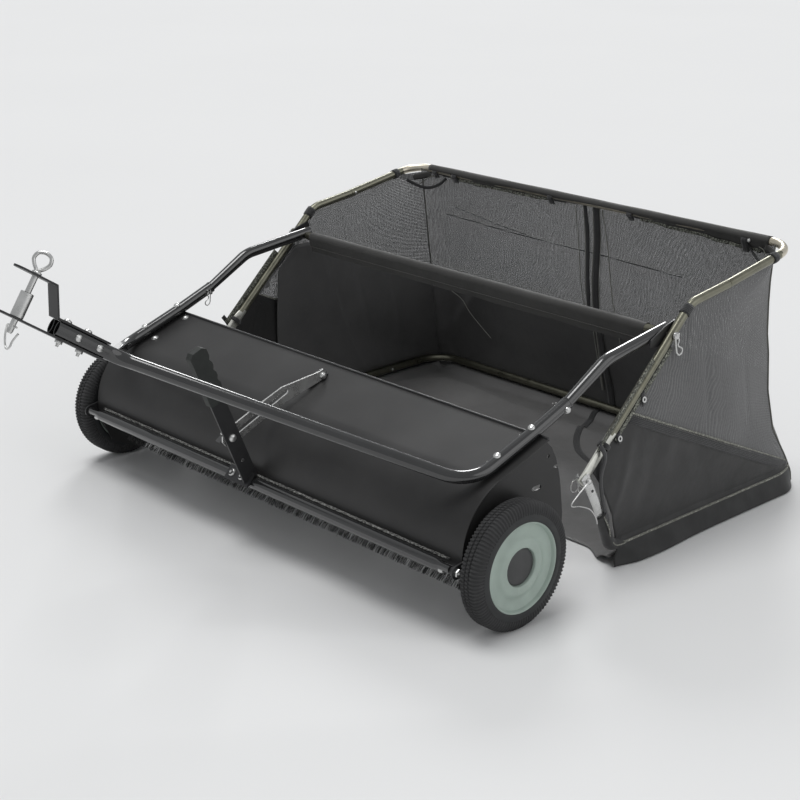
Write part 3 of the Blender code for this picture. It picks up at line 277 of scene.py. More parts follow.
def open_mesh(name, colour):
    """Close woven mesh: round yarns with small see-through holes, and the soft ripples of a hand-pulled weave."""
    look = Look(name)
    u, v, _ = look.parts(look.cut)
    drift = look.noise(5.0, 3.0, 0.55)
    wander = look.noise(11.0, 2.0, 0.5)
    u = look.plus(u, look.times(wander, 0.004))
    v = look.plus(v, look.times(look.noise(7.0, 2.0, 0.5), 0.004))
    warp, weft = look.wave(u, 0.003), look.wave(v, 0.0026)
    yarn = look.math("MAXIMUM", warp, weft)
    solid = look.math("GREATER_THAN", yarn, 0.19)
    bent = look.plus(u, look.times(drift, 0.11))
    ripple = look.wave(look.plus(bent, look.times(v, 0.22)), 0.0085)
    ripple = look.times(ripple, look.span(look.noise(3.0, 3.0, 0.6), 0.38, 0.62, 0.6, 1.0))
    fleck = look.noise(240.0, 2.0, 0.6)
    cloud = look.noise(4.0, 4.0, 0.6)
    tone = look.mix(look.span(cloud, 0.3, 0.7), tint(colour, 0.86), tint(colour, 1.12))
    tone = look.over(tone, tint(colour, 2.0), ripple, 0.35, 1.0, 0.62)
    tone = look.over(tone, tint(colour, 0.45), fleck, 0.5, 0.75, 0.45)
    tone = look.mix(look.times(look.span(yarn, 0.3, 0.7, 1.0, 0.0), 0.6), tone, tint(colour, 0.3))
    look.set(Base_Color=tone, Roughness=0.74, Sheen_Weight=0.1, Sheen_Roughness=0.4, Alpha=solid)
    look.set(Specular_IOR_Level=0.35, Normal=look.bump(yarn, 0.5, 0.0006, look.bump(ripple, 0.25, 0.0006)))
    return look.material


def webbing(name, colour, pitch=0.0032):
    """Ribbed woven strap."""
    look = Look(name)
    u, v, _ = look.parts(look.cut)
    ribs = look.times(look.wave(u, pitch), look.wave(v, pitch * 0.6))
    cloud = look.noise(20.0, 4.0, 0.6)
    tone = look.mix(look.span(cloud, 0.3, 0.7), tint(colour, 0.7), tint(colour, 1.3))
    tone = look.mix(look.times(ribs, 0.5), tone, tint(colour, 1.8))
    look.set(Base_Color=tone, Roughness=0.8, Sheen_Weight=0.3, Sheen_Roughness=0.45)
    look.set(Normal=look.bump(ribs, 0.7, 0.0008))
    return look.material


def speckled(name, dark=(0.045, 0.046, 0.04), pale=(0.36, 0.37, 0.31)):
    """Dark cloth with pale flecks."""
    look = Look(name)
    fleck = look.noise(330.0, 2.0, 0.7)
    cloud = look.noise(60.0, 3.0, 0.6)
    tone = look.mix(look.span(fleck, 0.48, 0.62), dark, pale)
    tone = look.over(tone, dark, cloud, 0.5, 0.72, 0.6)
    look.set(Base_Color=tone, Roughness=0.85, Normal=look.bump(fleck, 0.5, 0.0006))
    return look.material


def filament(name):
    """Brush bristles: dark stiff plastic with paler patches."""
    look = Look(name)
    vary = look.noise(340.0, 2.0, 0.6)
    tone = look.mix(look.span(vary, 0.52, 0.75), (0.018, 0.018, 0.018), (0.36, 0.36, 0.35))
    look.set(Base_Color=tone, Roughness=0.42, Specular_IOR_Level=0.5)
    return look.material


SATIN = paint("satin_black_sheet", (0.023, 0.0225, 0.0225), 0.37, 0.1, shine=0.32)
GLOSS = paint("gloss_black_tube", (0.011, 0.011, 0.0115), 0.15, 0.04, 1.0)
BLACK = paint("black_bracket", (0.018, 0.018, 0.019), 0.38, 0.1)
ZINC = plated("zinc", (0.7, 0.7, 0.69), 0.26, amount=0.12)
FLAT_ZINC = plated("pale_zinc", (0.78, 0.78, 0.72), 0.36, stain=(0.34, 0.36, 0.24), amount=0.45)
TUBE_ZINC = plated("galvanised_tube", (0.235, 0.23, 0.18), 0.3, stain=(0.1, 0.092, 0.06), amount=0.5)
BARE_END = plated("bare_bend", (0.72, 0.67, 0.56), 0.34, stain=(0.45, 0.38, 0.26), amount=0.35)
GRIP = moulded("grip_rubber", (0.022, 0.025, 0.023), 0.62, grain=0.35)
TYRE = moulded("tyre", (0.032, 0.032, 0.033), 0.74, grain=0.5)
TYRE_WALL = moulded("tyre_wall", (0.014, 0.015, 0.016), 0.52, grain=0.2)
RIM = moulded("rim_plastic", (0.35, 0.42, 0.375), 0.42, swirl=0.6)
PLASTIC = moulded("black_plastic", (0.045, 0.045, 0.046), 0.46)
GEAR = moulded("gear_plastic", (0.06, 0.06, 0.06), 0.45)
BRISTLE = filament("bristle")
TARP = tarpaulin("solid_cloth", (0.0135, 0.0132, 0.0132), 0.5)
LINER = tarpaulin("liner_cloth", (0.072, 0.0712, 0.0712), 0.52)
# The floor is the same dark cloth as the walls, made paler for the light it takes from above: painted light.
LIT_FLOOR_CLOTH = tarpaulin("floor_cloth", (0.135, 0.133, 0.132), 0.42)
SKIRT = tarpaulin("skirt_cloth", (0.013, 0.013, 0.013), 0.62)
MESH = open_mesh("mesh_cloth", (0.158, 0.158, 0.159))
STRAP = webbing("webbing", (0.022, 0.022, 0.023))
SLEEVE = tarpaulin("sleeve_cloth", (0.036, 0.035, 0.033), 0.7)
PIPING = webbing("hem_tape", (0.1, 0.1, 0.085), 0.0024)
SPECKLED = speckled("woven_strip")
FLECKED = speckled("front_tufts", (0.02, 0.02, 0.02), (0.4, 0.4, 0.38))
HEM_LINE = speckled("hem_line", (0.13, 0.13, 0.115), (0.42, 0.42, 0.37))
THREAD = webbing("thread", (0.21, 0.21, 0.19), 0.001)


# Shapes. Each returns (points, faces), and cloth adds flat coordinates for its weave

def circle(a, b, radius, steps):
    turn = 2 * math.pi / steps
    return [(a + radius * math.cos(i * turn), b + radius * math.sin(i * turn)) for i in range(steps)]


def arc(a, b, radius, first, last, steps):
    found = []
    for i in range(steps + 1):
        t = math.radians(first + (last - first) * i / steps)
        found.append((a + radius * math.cos(t), b + radius * math.sin(t)))
    return found


def along(axis, a, b, c):
    return {"X": (c, a, b), "Y": (a, c, b), "Z": (a, b, c)}[axis]


def prism_faces(n):
    faces = [list(range(n))[::-1], list(range(n, 2 * n))]
    return faces + [[i, (i + 1) % n, n + (i + 1) % n, n + i] for i in range(n)]


def prism(outline, axis, low, high):
    points = [along(axis, a, b, low) for a, b in outline] + [along(axis, a, b, high) for a, b in outline]
    return points, prism_faces(len(outline))


def net(rows, wide, ring=True, closed=False):
    """Faces between rows of points. ring joins the ends of each row, closed joins the last row to the first."""
    return [[j * wide + i, j * wide + (i + 1) % wide, (j + 1) % rows * wide + (i + 1) % wide,
             (j + 1) % rows * wide + i] for j in range(rows if closed else rows - 1)
            for i in range(wide if ring else wide - 1)]


def skin(profile, steps, ring_at, closed=False):
    """A surface through rings of points. A ring of radius 0 is a single point."""
    points, rings, faces = [], [], []
    for radius, far in profile:
        count = steps if radius else 1
        rings.append(range(len(points), len(points) + count))
        points += ring_at(radius, far, count)
    for low, high in list(zip(rings, rings[1:])) + ([(rings[-1], rings[0])] if closed else []):
        for i in range(steps):
            j = (i + 1) % steps
            corners = [low[i % len(low)], low[j % len(low)], high[j % len(high)], high[i % len(high)]]
            faces.append(list(dict.fromkeys(corners)))
    return points, faces


def lathe(profile, a, b, axis="X", steps=48):
    """profile holds (radius, distance along the axis), from one end on the axis to the other, or a closed loop."""
    def ring(radius, far, count):
        return [along(axis, p, q, far) for p, q in circle(a, b, radius, count)]
    return skin(profile, steps, ring, profile[0][0] != 0)


def rounded(path, radii, steps=12):
    path = [Vector(p) for p in path]
    found = [path[0]]
    for before, corner, after, radius in zip(path, path[1:], path[2:], radii):
        come, go = (corner - before).normalized(), (after - corner).normalized()
        turn = come.angle(go)
        if radius == 0 or turn < 1e-4:
            found.append(corner)
            continue
        back = radius * math.tan(turn / 2)
        start = corner - come * back
        inward = (go - come * come.dot(go)).normalized()
        for i in range(steps + 1):
            t = turn * i / steps
            found.append(start + come * radius * math.sin(t) + inward * radius * (1 - math.cos(t)))
    found.append(path[-1])
    return found


def curve_through(points, steps=8):
    """A smooth line through the points."""
    p = [Vector(q) for q in points]
    p = [p[0] * 2 - p[1]] + p + [p[-1] * 2 - p[-2]]
    found = []
    for i in range(1, len(p) - 2):
        for k in range(steps):
            t = k / steps
            a, b, c, d = p[i - 1], p[i], p[i + 1], p[i + 2]
            found.append(0.5 * ((2 * b) + (c - a) * t + (2 * a - 5 * b + 4 * c - d) * t * t + (3 * b - a - 3 * c + d)
                                * t ** 3))
    found.append(p[-2])
    return found


def swept(path, radius, sides=28, across=None, size_at=None, hollow=(0.0, 0.0)):
    """A bar along a path. size_at(distance) gives its (wide, tall) pair, hollow the depth of the bore at each end."""
    path = [Vector(p) for p in path]
    n, far = len(path), lengths(path)
    ways = [(path[min(i + 1, n - 1)] - path[max(i - 1, 0)]).normalized() for i in range(n)]
    side = Vector(across) if across else ways[0].orthogonal()
    rings = []
    for i in range(n):
        side = (side - ways[i] * side.dot(ways[i])).normalized()
        up = ways[i].cross(side)
        wide, tall = size_at(far[i]) if size_at else (radius, radius)
        rings.append((path[i], side.copy(), up, wide, tall))
    wall = BORE_WALL
    if hollow[0]:
        p, s, u, w, t = rings[0]
        rings[:0] = [(p + ways[0] * hollow[0], s, u, w - wall, t - wall), (p, s, u, w - wall, t - wall)]
    if hollow[1]:
        p, s, u, w, t = rings[-1]
        rings += [(p, s, u, w - wall, t - wall), (p - ways[-1] * hollow[1], s, u, w - wall, t - wall)]
    points = []
    for p, s, u, w, t in rings:
        for k in range(sides):
            a = 2 * math.pi * (k + 0.5) / sides
            points.append(p + s * w * math.cos(a) + u * t * math.sin(a))
    m = len(rings)
    ends = [list(range(sides)), list(range((m - 1) * sides, m * sides))]
    return points, ends + net(m, sides)


def together(*shapes):
    points, faces = [], []
    for more, sides in shapes:
        base = len(points)
        points += [Vector(p) for p in more]
        faces += [[base + i for i in side] for side in sides]
    return points, faces


def facing(shape, origin, normal):
    """Moves a shape made round the Z axis so that Z points along normal."""
    normal = Vector(normal).normalized()
    turn = Vector((0, 0, 1)).rotation_difference(normal).to_matrix()
    return [turn @ Vector(p) + Vector(origin) for p in shape[0]], shape[1]


def dome_bolt(origin, normal, radius=0.0072, high=0.005):
    """A round bolt head with a low skirt."""
    line = [(0, -0.001), (radius, -0.001), (radius, 0.18 * high), (0.965 * radius, 0.3 * high)]
    line += [(radius * 0.965 * math.cos(t), high * (0.3 + 0.7 * math.sin(t))) for t in (0.3, 0.6, 0.9, 1.2, 1.4)]
    return facing(lathe(line + [(0, high)], 0, 0, "Z", 28), origin, normal)


def hex_nut(origin, normal, across=0.0125, high=0.0055):
    r = across / 2 / math.cos(math.pi / 6)
    rings = [(0, -0.0005), (r * 0.93, -0.0005), (r, 0.0005), (r, high - 0.0009), (r * 0.92, high), (0.0036, high),
             (0.0036, high + 0.002), (0.0028, high + 0.0026), (0, high + 0.0026)]

    def ring(radius, far, count):
        found = []
        for i in range(count):
            t = 2 * math.pi * i / count
            hexed = math.cos(math.pi / 6) / math.cos((t % (math.pi / 3)) - math.pi / 6)
            k = radius * (hexed if radius > 0.004 else 1.0)
            found.append((k * math.cos(t), k * math.sin(t), far))
        return found
    return facing(skin(rings, 24, ring), origin, normal)


def washer(origin, normal, radius, bore, thick=0.0012):
    line = [(bore, 0), (radius, 0), (radius, thick), (bore, thick)]
    return facing(lathe(line, 0, 0, "Z", 28), origin, normal)


def hairpin(origin, down, across, size=0.034, wire=0.0012):
    """A spring clip with one straight leg, one waved leg and a round eye between them. It hangs from origin."""
    down, across = Vector(down).normalized(), Vector(across).normalized()
    flat = [(0.0, -0.05), (0.0, 0.62), (0.03, 0.74), (0.1, 0.83), (0.2, 0.86), (0.3, 0.82), (0.35, 0.72),
            (0.32, 0.62), (0.24, 0.55), (0.15, 0.47), (0.12, 0.37), (0.19, 0.27), (0.21, 0.18), (0.14, 0.09),
            (0.19, -0.02), (0.25, -0.06)]
    path = [Vector(origin) + down * (b * size) + across * (a * size) for a, b in flat]
    return swept(curve_through(path, 6), wire, 10)


def show(name, shape, look, body, replaces=(), crease=35.0, flat=None, recalc=True):
    """One piece that rides on a body."""
    points, faces = shape
    mesh = bpy.data.meshes.new(name)
    mesh.from_pydata([place(p) for p in points], [], faces)
    if recalc:
        work = bmesh.new()
        work.from_mesh(mesh)
        bmesh.ops.recalc_face_normals(work, faces=work.faces)
        work.to_mesh(mesh)
        work.free()
    looks = look if isinstance(look, (list, tuple)) else [look]
    for one in looks:
        mesh.materials.append(one)
    if flat:
        layer = mesh.uv_layers.new(name="cut")
        for loop in mesh.loops:
            layer.data[loop.index].uv = flat[loop.vertex_index]
    mesh.shade_smooth()
    mesh.set_sharp_from_angle(angle=math.radians(crease))
    made = bpy.data.objects.new(name, mesh)
    bpy.context.scene.collection.objects.link(made)
    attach(made, body)
    if replaces:
        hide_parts(*replaces)
    return made


def bevelled(piece, width):
    edge = piece.modifiers.new("edges", "BEVEL")
    edge.width = width
    edge.segments = 2
    edge.limit_method = "ANGLE"
    edge.angle_limit = math.radians(32)
    edge.harden_normals = True
    return piece


def dress(name, look, width=0.0006):
    """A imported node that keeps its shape: it gets a material and small rounded edges."""
    node = NODES[name]
    mesh = node.data
    mesh.materials.clear()
    mesh.materials.append(look)
    own = mesh.attributes.get("custom_normal")
    if own:
        mesh.attributes.remove(own)
    mesh.shade_smooth()
    weld = node.modifiers.new("weld", "WELD")
    weld.merge_threshold = 0.00002
    if width:
        bevelled(node, width)
    return node


def lengths(path):
    """How far along the path each of its points lies."""
    far = [0.0]
    for a, b in zip(path, path[1:]):
        far.append(far[-1] + (b - a).length)
    return far


def half_areas(points, faces):
    """The areas of the two triangles of each face."""
    corners = ([Vector(points[i]) for i in face] for face in faces)
    return [((b - a).cross(c - a).length / 2, (c - a).cross(d - a).length / 2) for a, b, c, d in corners]


def sheet_of(point_at, across, down):
    """A single sheet of cloth from a function of two shares, with flat coordinates in metres."""
    rows = [[Vector(point_at(i / across, j / down)) for i in range(across + 1)] for j in range(down + 1)]
    points = [p for row in rows for p in row]
    faces = net(down + 1, across + 1, ring=False)
    us, vs = lengths(rows[down // 2]), lengths([row[across // 2] for row in rows])
    area = sum(half for pair in half_areas(points, faces) for half in pair)
    return (points, faces), [(u, v) for v in vs for u in us], (us[-1], vs[-1]), area


def thicken(piece, thick):
    solid = piece.modifiers.new("thick", "SOLIDIFY")
    solid.thickness = thick
    solid.offset = 0.0
    solid.use_even_offset = True
    return piece


def strap_along(path, normal, width):
    """A flat strap along a path. normal is the way its face looks."""
    path = [Vector(p) for p in path]
    n = len(path)
    points, flat = [], []
    for i, (p, far) in enumerate(zip(path, lengths(path))):
        way = (path[min(i + 1, n - 1)] - path[max(i - 1, 0)]).normalized()
        side = way.cross(Vector(normal)).normalized()
        for k in (-0.5, -0.17, 0.17, 0.5):
            points.append(p + side * width * k)
            flat.append((width * k, far))
    return (points, net(n, 4, ring=False)), flat


def strap(name, look, thick, normal, *runs, body="hopper"):
    """Webbing along one or more (path, width) runs, as one piece."""
    made = [strap_along(path, normal, width) for path, width in runs]
    flat = [at for _, part in made for at in part]
    return thicken(show(name, together(*[shape for shape, _ in made]), look, body, flat=flat, recalc=False), thick)


def stitches(path, normal):
    """A row of thread stitches along a line, standing a little proud of the cloth."""
    pitch, length, radius = 0.006, 0.0042, 0.00045
    path = [Vector(p) for p in path]
    shapes, left = [], 0.0
    for a, b in zip(path, path[1:]):
        step = b - a
        way = step.normalized()
        face = Vector(normal).normalized()
        side = way.cross(face).normalized()
        while left < step.length:
            p = a + way * left + face * 0.0008
            tips = [(-length / 2, 0.15), (-length / 4, 1.0), (length / 4, 1.0), (length / 2, 0.15)]
            points = []
            for d, k in tips:
                for u, w in ((-1, 0), (0, 1), (1, 0), (0, -1)):
                    points.append(p + way * d + side * u * radius * k + face * (w * radius * k))
            shapes.append((points, [[3, 2, 1, 0], [12, 13, 14, 15]] + net(4, 4)))
            left += pitch
        left -= step.length
    return together(*shapes)


def tongue(s, n, x=0.0):
    t = math.radians(TONGUE_ANGLE)
    return Vector((x, -s * math.cos(t) + n * math.sin(t), s * math.sin(t) + n * math.cos(t)))


TONGUE_UP = tongue(0, 1) - tongue(0, 0)


def top_height(y):
    a, b = arc(SHELL_Y, SHELL_Z, SHELL_RADIUS, ROLL_END_ANGLE, ROLL_END_ANGLE, 1)[0]
    return b + (TOP_REAR[1] - b) * (y - a) / (TOP_REAR[0] - a)


TOP_SLOPE = (TOP_REAR[1] - top_height(0.0)) / TOP_REAR[0]
TOP_NORMAL = Vector((0, -TOP_SLOPE, 1)).normalized()


# Housing

def make_housing():
    outer = arc(SHELL_Y, SHELL_Z, SHELL_RADIUS, LIP_ANGLE, ROLL_END_ANGLE, 44)
    inner = arc(SHELL_Y, SHELL_Z, SHELL_RADIUS - SHEET, LIP_ANGLE, ROLL_END_ANGLE, 44)
    outline = outer + [TOP_REAR, (TOP_REAR[0] + 0.0006, TOP_REAR[1] - SHEET)] + inner[::-1]
    half = PLATE_OUT + 0.001
    cover = show("cover_sheet", prism(outline, "X", -half, half), SATIN, "frame", ["housing_cover"], crease=30)
    bevelled(cover, 0.0007)
    lip = outer[0]
    hem = swept([(-half + 0.001, lip[0] + 0.0012, lip[1] - 0.0005), (half - 0.001, lip[0] + 0.0012, lip[1] - 0.0005)],
                0.0021, 14)
    show("cover_front_hem", hem, GLOSS, "frame")
    y, z = TOP_REAR
    flange = [(y + 0.0002, z - 0.0022), (y + 0.0022, z - 0.0026), (y + 0.0026, z - 0.015), (y + 0.0135, z - 0.0178),
              (y + 0.0133, z - 0.0194), (y + 0.001, z - 0.0166)]
    bevelled(show("cover_rear_flange", prism(flange, "X", -0.578, 0.578), SATIN, "frame"), 0.0004)
    # A black bead along the rear edge, where the gap under the flange lies in shade: painted shade.
    bead = swept([(-0.586, y + 0.0008, z + 0.0006), (0.586, y + 0.0008, z + 0.0006)], 0.0029, 14)
    show("cover_rear_shade_bead", bead, BLACK, "frame")
    a, b = arc(SHELL_Y, SHELL_Z, SHELL_RADIUS + 0.0034, 181, 184, 1)[0]
    line = [(x, a, b) for x in evenly(-0.56, 0.56, 40)]
    strap("cover_front_tufts", FLECKED, 0.0016, (0, -0.3, 0.95), (line, 0.006), body="frame")
    heads = []
    for _, s in SIDES:
        for yy in (0.03, 0.118):
            heads.append(dome_bolt((s * 0.535, yy, top_height(yy)), TOP_NORMAL, 0.0072, 0.0046))
            heads.append(washer((s * 0.535, yy, top_height(yy) - 0.0002), TOP_NORMAL, 0.0088, 0.004, 0.001))
    show("cover_bolts", together(*heads), ZINC, "frame")
    for side, s in SIDES:
        dress("side_plate_" + side, SATIN, 0.0005)
        dress("brush_bearing_" + side, BLACK, 0.0006)
        bits = []
        for yy, zz in ((-0.022, 0.058), (0.128, 0.06), (0.15, 0.15)):
            bits.append(dome_bolt((s * PLATE_OUT, yy, zz), (s, 0, 0), 0.006, 0.0036))
        show("plate_bolts_" + side, together(*bits), BLACK, "frame")
        edge = [(s * 0.5878, *p) for p in arc(SHELL_Y, SHELL_Z, SHELL_RADIUS - SHEET - 0.0046, 184, ROLL_END_ANGLE,
                                              30)]
        rim = swept(edge, 0.0016, 10)
        show("plate_rolled_edge_" + side, rim, SATIN, "frame")


# Tow frame

def flattened(share, wide, tall, radius):
    """(wide, tall) of a tube that is flat at share 0 and round at share 1."""
    return wide + (radius - wide) * share, tall + (radius - tall) * share


def hitch_tube_size(far):
    return flattened(ease((far - 0.135) / 0.06), 0.0066, 0.014, TUBE_RADIUS)


def make_tow_frame():
    lift = (TUBE_RADIUS + 0.0004) / math.cos(math.atan(TOP_SLOPE))
    for side, s in SIDES:
        x = s * TUBE_X
        joint = Vector((x, 0.212, 0.375))
        near, far = Vector((x, 0.118, top_height(0.118) + lift)), Vector((x, -0.048, top_height(-0.048) + lift))
        tip, neck = tongue(0.775, TONGUE_AXIS, s * 0.0105), tongue(0.622, TONGUE_AXIS, s * 0.0105)
        path = rounded([tip, neck, far, near, joint], [0.06, 0.085, 0.12], 14)
        tube = swept(path, TUBE_RADIUS, 32, (1, 0, 0), hitch_tube_size, hollow=(0.03, 0.0))
        show("hitch_tube_smooth_" + side, tube, GLOSS, "frame", ["hitch_tube_" + side], crease=50)
        way = (joint - near).normalized()
        start = joint - way * 0.036
        path = rounded([start, (x, 0.323, 0.4365), (s * 0.553, 0.512, 0.4605)], [0.09], 14)
        path[1:1] = [joint + way * 0.0006, joint + way * 0.0007]

        def narrow(far):
            return (0.0108, 0.0108) if far < 0.0369 else (TUBE_RADIUS, TUBE_RADIUS)
        show("arm_tube_smooth_" + side, swept(path, TUBE_RADIUS, 32, None, narrow, (0.0, 0.02)), GLOSS, "frame",
             ["arm_tube_" + side], crease=50)
        seam = swept([joint - way * 0.002, joint + way * 0.0008], TUBE_RADIUS + 0.0005, 32)
        show("joint_collar_" + side, seam, GLOSS, "frame")
        heads = []
        for yy in (0.021, 0.113):
            z = top_height(yy) + lift + (TUBE_RADIUS - 0.0006) / TOP_NORMAL.z
            heads.append(dome_bolt((x, yy, z), TOP_NORMAL, 0.0074, 0.005))
            base = Vector((x, yy, top_height(yy))) - TOP_NORMAL * 0.0022
            heads.append(hex_nut(base, -TOP_NORMAL))
        for t in (0.675, 0.727):
            p = tongue(t, TONGUE_AXIS, s * 0.0166)
            heads.append(dome_bolt(p, (1, 0, 0), 0.0074, 0.005) if s > 0 else hex_nut(p, (-1, 0, 0)))
        show("tube_bolts_" + side, together(*heads), ZINC, "frame")
        pin = [swept([(s * (TUBE_X - 0.0195), *PIN_C), (s * (TUBE_X + 0.014), *PIN_C)], 0.0031, 18),
               dome_bolt((s * (TUBE_X + 0.0128), *PIN_C), (s, 0, 0), 0.007, 0.0052)]
        pin.append(hairpin((s * (TUBE_X - 0.0165), PIN_C[0] - 0.0005, PIN_C[1] + 0.0055), (0, -0.1, -1), (0, -1, 0.1),
                           0.04))
        show("joint_pin_" + side, together(*pin), ZINC, "frame", ["arm_pin_" + side])
        dress("pivot_bracket_" + side, BLACK, 0.0005)


def turned(profile, steps):
    """A round part about the hitch pin's own axis."""
    points, faces = lathe(profile, 0, HITCH_PIN_AT, "Z", steps)
    return [tongue(y, z, x) for x, y, z in points], faces


def make_hitch():
    dress("hitch_strap_upper", BLACK, 0.0007)
    dress("hitch_strap_lower", BLACK, 0.0007)
    bits = []
    top, bottom = TONGUE_AXIS + HITCH_HALF + 0.004, TONGUE_AXIS - HITCH_HALF - 0.004
    for t in (0.702, 0.752):
        bits.append(dome_bolt(tongue(t, top), TONGUE_UP, 0.008, 0.0056))
        bits.append(hex_nut(tongue(t, bottom), -TONGUE_UP, 0.013, 0.006))
        bits.append(swept([tongue(t, bottom - 0.004), tongue(t, bottom - 0.0125)], 0.003, 14))
    show("hitch_bolts", together(*bits), ZINC, "frame")
    base = TONGUE_AXIS - HITCH_HALF + 0.0003
    line = [(0.0068, base), (0.0117, base), (0.0125, base + 0.0008), (0.0125, base + 0.0472), (0.0117, base + 0.048),
            (0.0068, base + 0.048)]
    show("spacer_sleeve", turned(line, 40), ZINC, "frame", ["hitch_spacer"])
    collar = STRAP_TOP + 0.0003
    shaft = [(0, 0.114), (0.0042, 0.114), (0.0058, 0.1185), (0.0058, collar), (0.0085, collar),
             (0.0095, collar + 0.0008), (0.0095, collar + 0.003), (0.008, collar + 0.004), (0.0046, collar + 0.0046),
             (0, collar + 0.0046)]
    loop = [(0.0004, 0.001), (0.003, 0.007), (0.0112, 0.0148), (0.0166, 0.025), (0.0126, 0.0362), (0.0, 0.0404),
            (-0.0126, 0.0362), (-0.0166, 0.025), (-0.0108, 0.0143), (-0.0046, 0.008), (-0.004, 0.0042)]
    across = Vector((0.8, -0.6))
    path = curve_through([tongue(HITCH_PIN_AT + a * across.y, collar + b, a * across.x) for a, b in loop], 9)
    bend = swept(path, 0.0036, 18)
    show("hitch_pin_bent_eye", together(turned(shaft, 28), bend), ZINC, "pin", ["hitch_pin"])
    wire = [(0.016, 0.856, 0.128), (-0.012, 0.856, 0.128), (-0.02, 0.852, 0.122), (-0.021, 0.847, 0.108),
            (-0.016, 0.843, 0.094), (-0.006, 0.8425, 0.087), (0.002, 0.8435, 0.092), (0.0035, 0.8445, 0.102),
            (0.0085, 0.8455, 0.112), (0.013, 0.846, 0.119)]
    clip = swept(curve_through([tongue(b, c, a) for a, b, c in wire], 8), 0.0019, 12)
    show("hitch_clip_wire", clip, ZINC, "pin", ["hitch_hairpin"])


# Height adjustment

def make_lever():
    for name, look, width in (("depth_lever", BLACK, 0.0006), ("lever_grip", GRIP, 0.001),
                              ("clamp_bolt", ZINC, 0.0004), ("clamp_knob", PLASTIC, 0.0006),
                              ("depth_strap", ZINC, 0.0005), ("strap_foot_bracket", BLACK, 0.0005)):
        dress(name, look, width)
    bits = [dome_bolt((-0.0027, 0.082, 0.321), (1, 0, 0), 0.0078, 0.0052),
            dome_bolt((-0.027, 0.074, top_height(0.074) + 0.0035), TOP_NORMAL, 0.0066, 0.0044)]
    show("strap_bolts", together(*bits), ZINC, "frame")
    bits = []
    out = Vector((0, -0.76, 0.65)).normalized()
    for x in (-0.049, -0.017):
        middle = Vector((x, BAR_Y, BAR_Z)) + out * (BAR_RADIUS + 0.0046)
        bits.append(dome_bolt(middle, out, 0.0086, 0.0058))
    bits.append(dome_bolt((0.0027, -0.165, 0.247), (1, 0, 0), 0.0086, 0.006))
    show("lever_bolts", together(*bits), ZINC, "height_frame")


def make_height_parts():
    half = 0.5838
    way = (0, math.cos(math.radians(140)), math.sin(math.radians(140)))

    def size(far):
        edge = min(far, 2 * half - far)
        return (0.0125, 0.008 + (0.0125 - 0.008) * ease((edge - 0.02) / 0.024))
    path = [-half + x for x in (0, 0.006, 0.014, 0.02, 0.024, 0.028, 0.033, 0.038, 0.044, 0.3, half)]
    path = path + [-x for x in path[:-1][::-1]]
    points = [(x, BAR_Y, BAR_Z) for x in path]
    show("cross_bar_smooth", swept(points, BAR_RADIUS, 32, way, size), GLOSS, "height_frame", ["front_bar"],
         crease=50)
    for side, s in SIDES:
        dress("wheel_bracket_" + side, BLACK, 0.0006)
        bits = [hex_nut((s * 0.5972, BAR_Y, BAR_Z), (s, 0, 0), 0.015, 0.006)]
        out = Vector((0, -0.64, -0.77)).normalized()
        spot = Vector((s * 0.56, BAR_Y, BAR_Z)) + out * 0.0085
        bits.append(dome_bolt(spot, out, 0.0062, 0.0042))
        show("bar_nuts_" + side, together(*bits), ZINC, "height_frame")


# Brush: four strips of tufts

def make_brush():
    dress("brush_shaft", ZINC, 0.0006)
    for side, _ in SIDES:
        dress("pinion_" + side, GEAR, 0.0003)
    rng = random.Random(11)
    half = BRUSH_HALF
    for number in range(4):
        t = 2 * math.pi * (number + 0.5) / 4
        out, turn = Vector((0, math.cos(t), math.sin(t))), Vector((0, -math.sin(t), math.cos(t)))
        centre = Vector((0, BRUSH_Y, BRUSH_Z))
        corners = [(-0.0088, 0.0229), (0.0088, 0.0229), (0.0088, 0.0262), (0.005, 0.0336), (-0.005, 0.0336),
                   (-0.0088, 0.0262)]
        points = []
        for x in (-half + 0.004, half - 0.004):
            points += [centre + out * f + turn * w + Vector((x, 0, 0)) for w, f in corners]
        faces = prism_faces(len(corners))
        hairs_p, hairs_f = [], []
        for k in range(TUFTS):
            x = -half + 0.014 + (2 * half - 0.028) * k / (TUFTS - 1)
            for _ in range(HAIRS):
                dx, dw = rng.uniform(-0.0042, 0.0042), rng.uniform(-0.003, 0.003)
                lean, sway = rng.gauss(0, 0.006), rng.gauss(0, 0.005)
                reach = BRUSH_RADIUS - abs(rng.gauss(0, 0.0028)) - 0.0006
                base = len(hairs_p)
                for share, r in ((0.0, 0.00055), (0.55, 0.00055), (1.0, 0.0004)):
                    f = TUFT_ROOT + (reach - TUFT_ROOT) * share
                    bend = share * share
                    p = centre + Vector((x + dx + lean * bend, 0, 0)) + out * f + turn * (dw * (1 + share) + sway
                                                                                          * bend)
                    for m in range(3):
                        a = THIRD_TURN * m + k
                        hairs_p.append(p + Vector((r * math.cos(a), 0, 0)) + turn * (r * math.sin(a)))
                hairs_f += [[base + i for i in face] for face in net(3, 3) + [[6, 7, 8]]]
        show(f"brush_hairs_{number + 1}", (hairs_p, hairs_f), BRISTLE, "brush", [f"brush_strip_{number + 1}"],
             recalc=False)
        show(f"brush_backing_{number + 1}", (points, faces), PLASTIC, "brush")


# Wheels

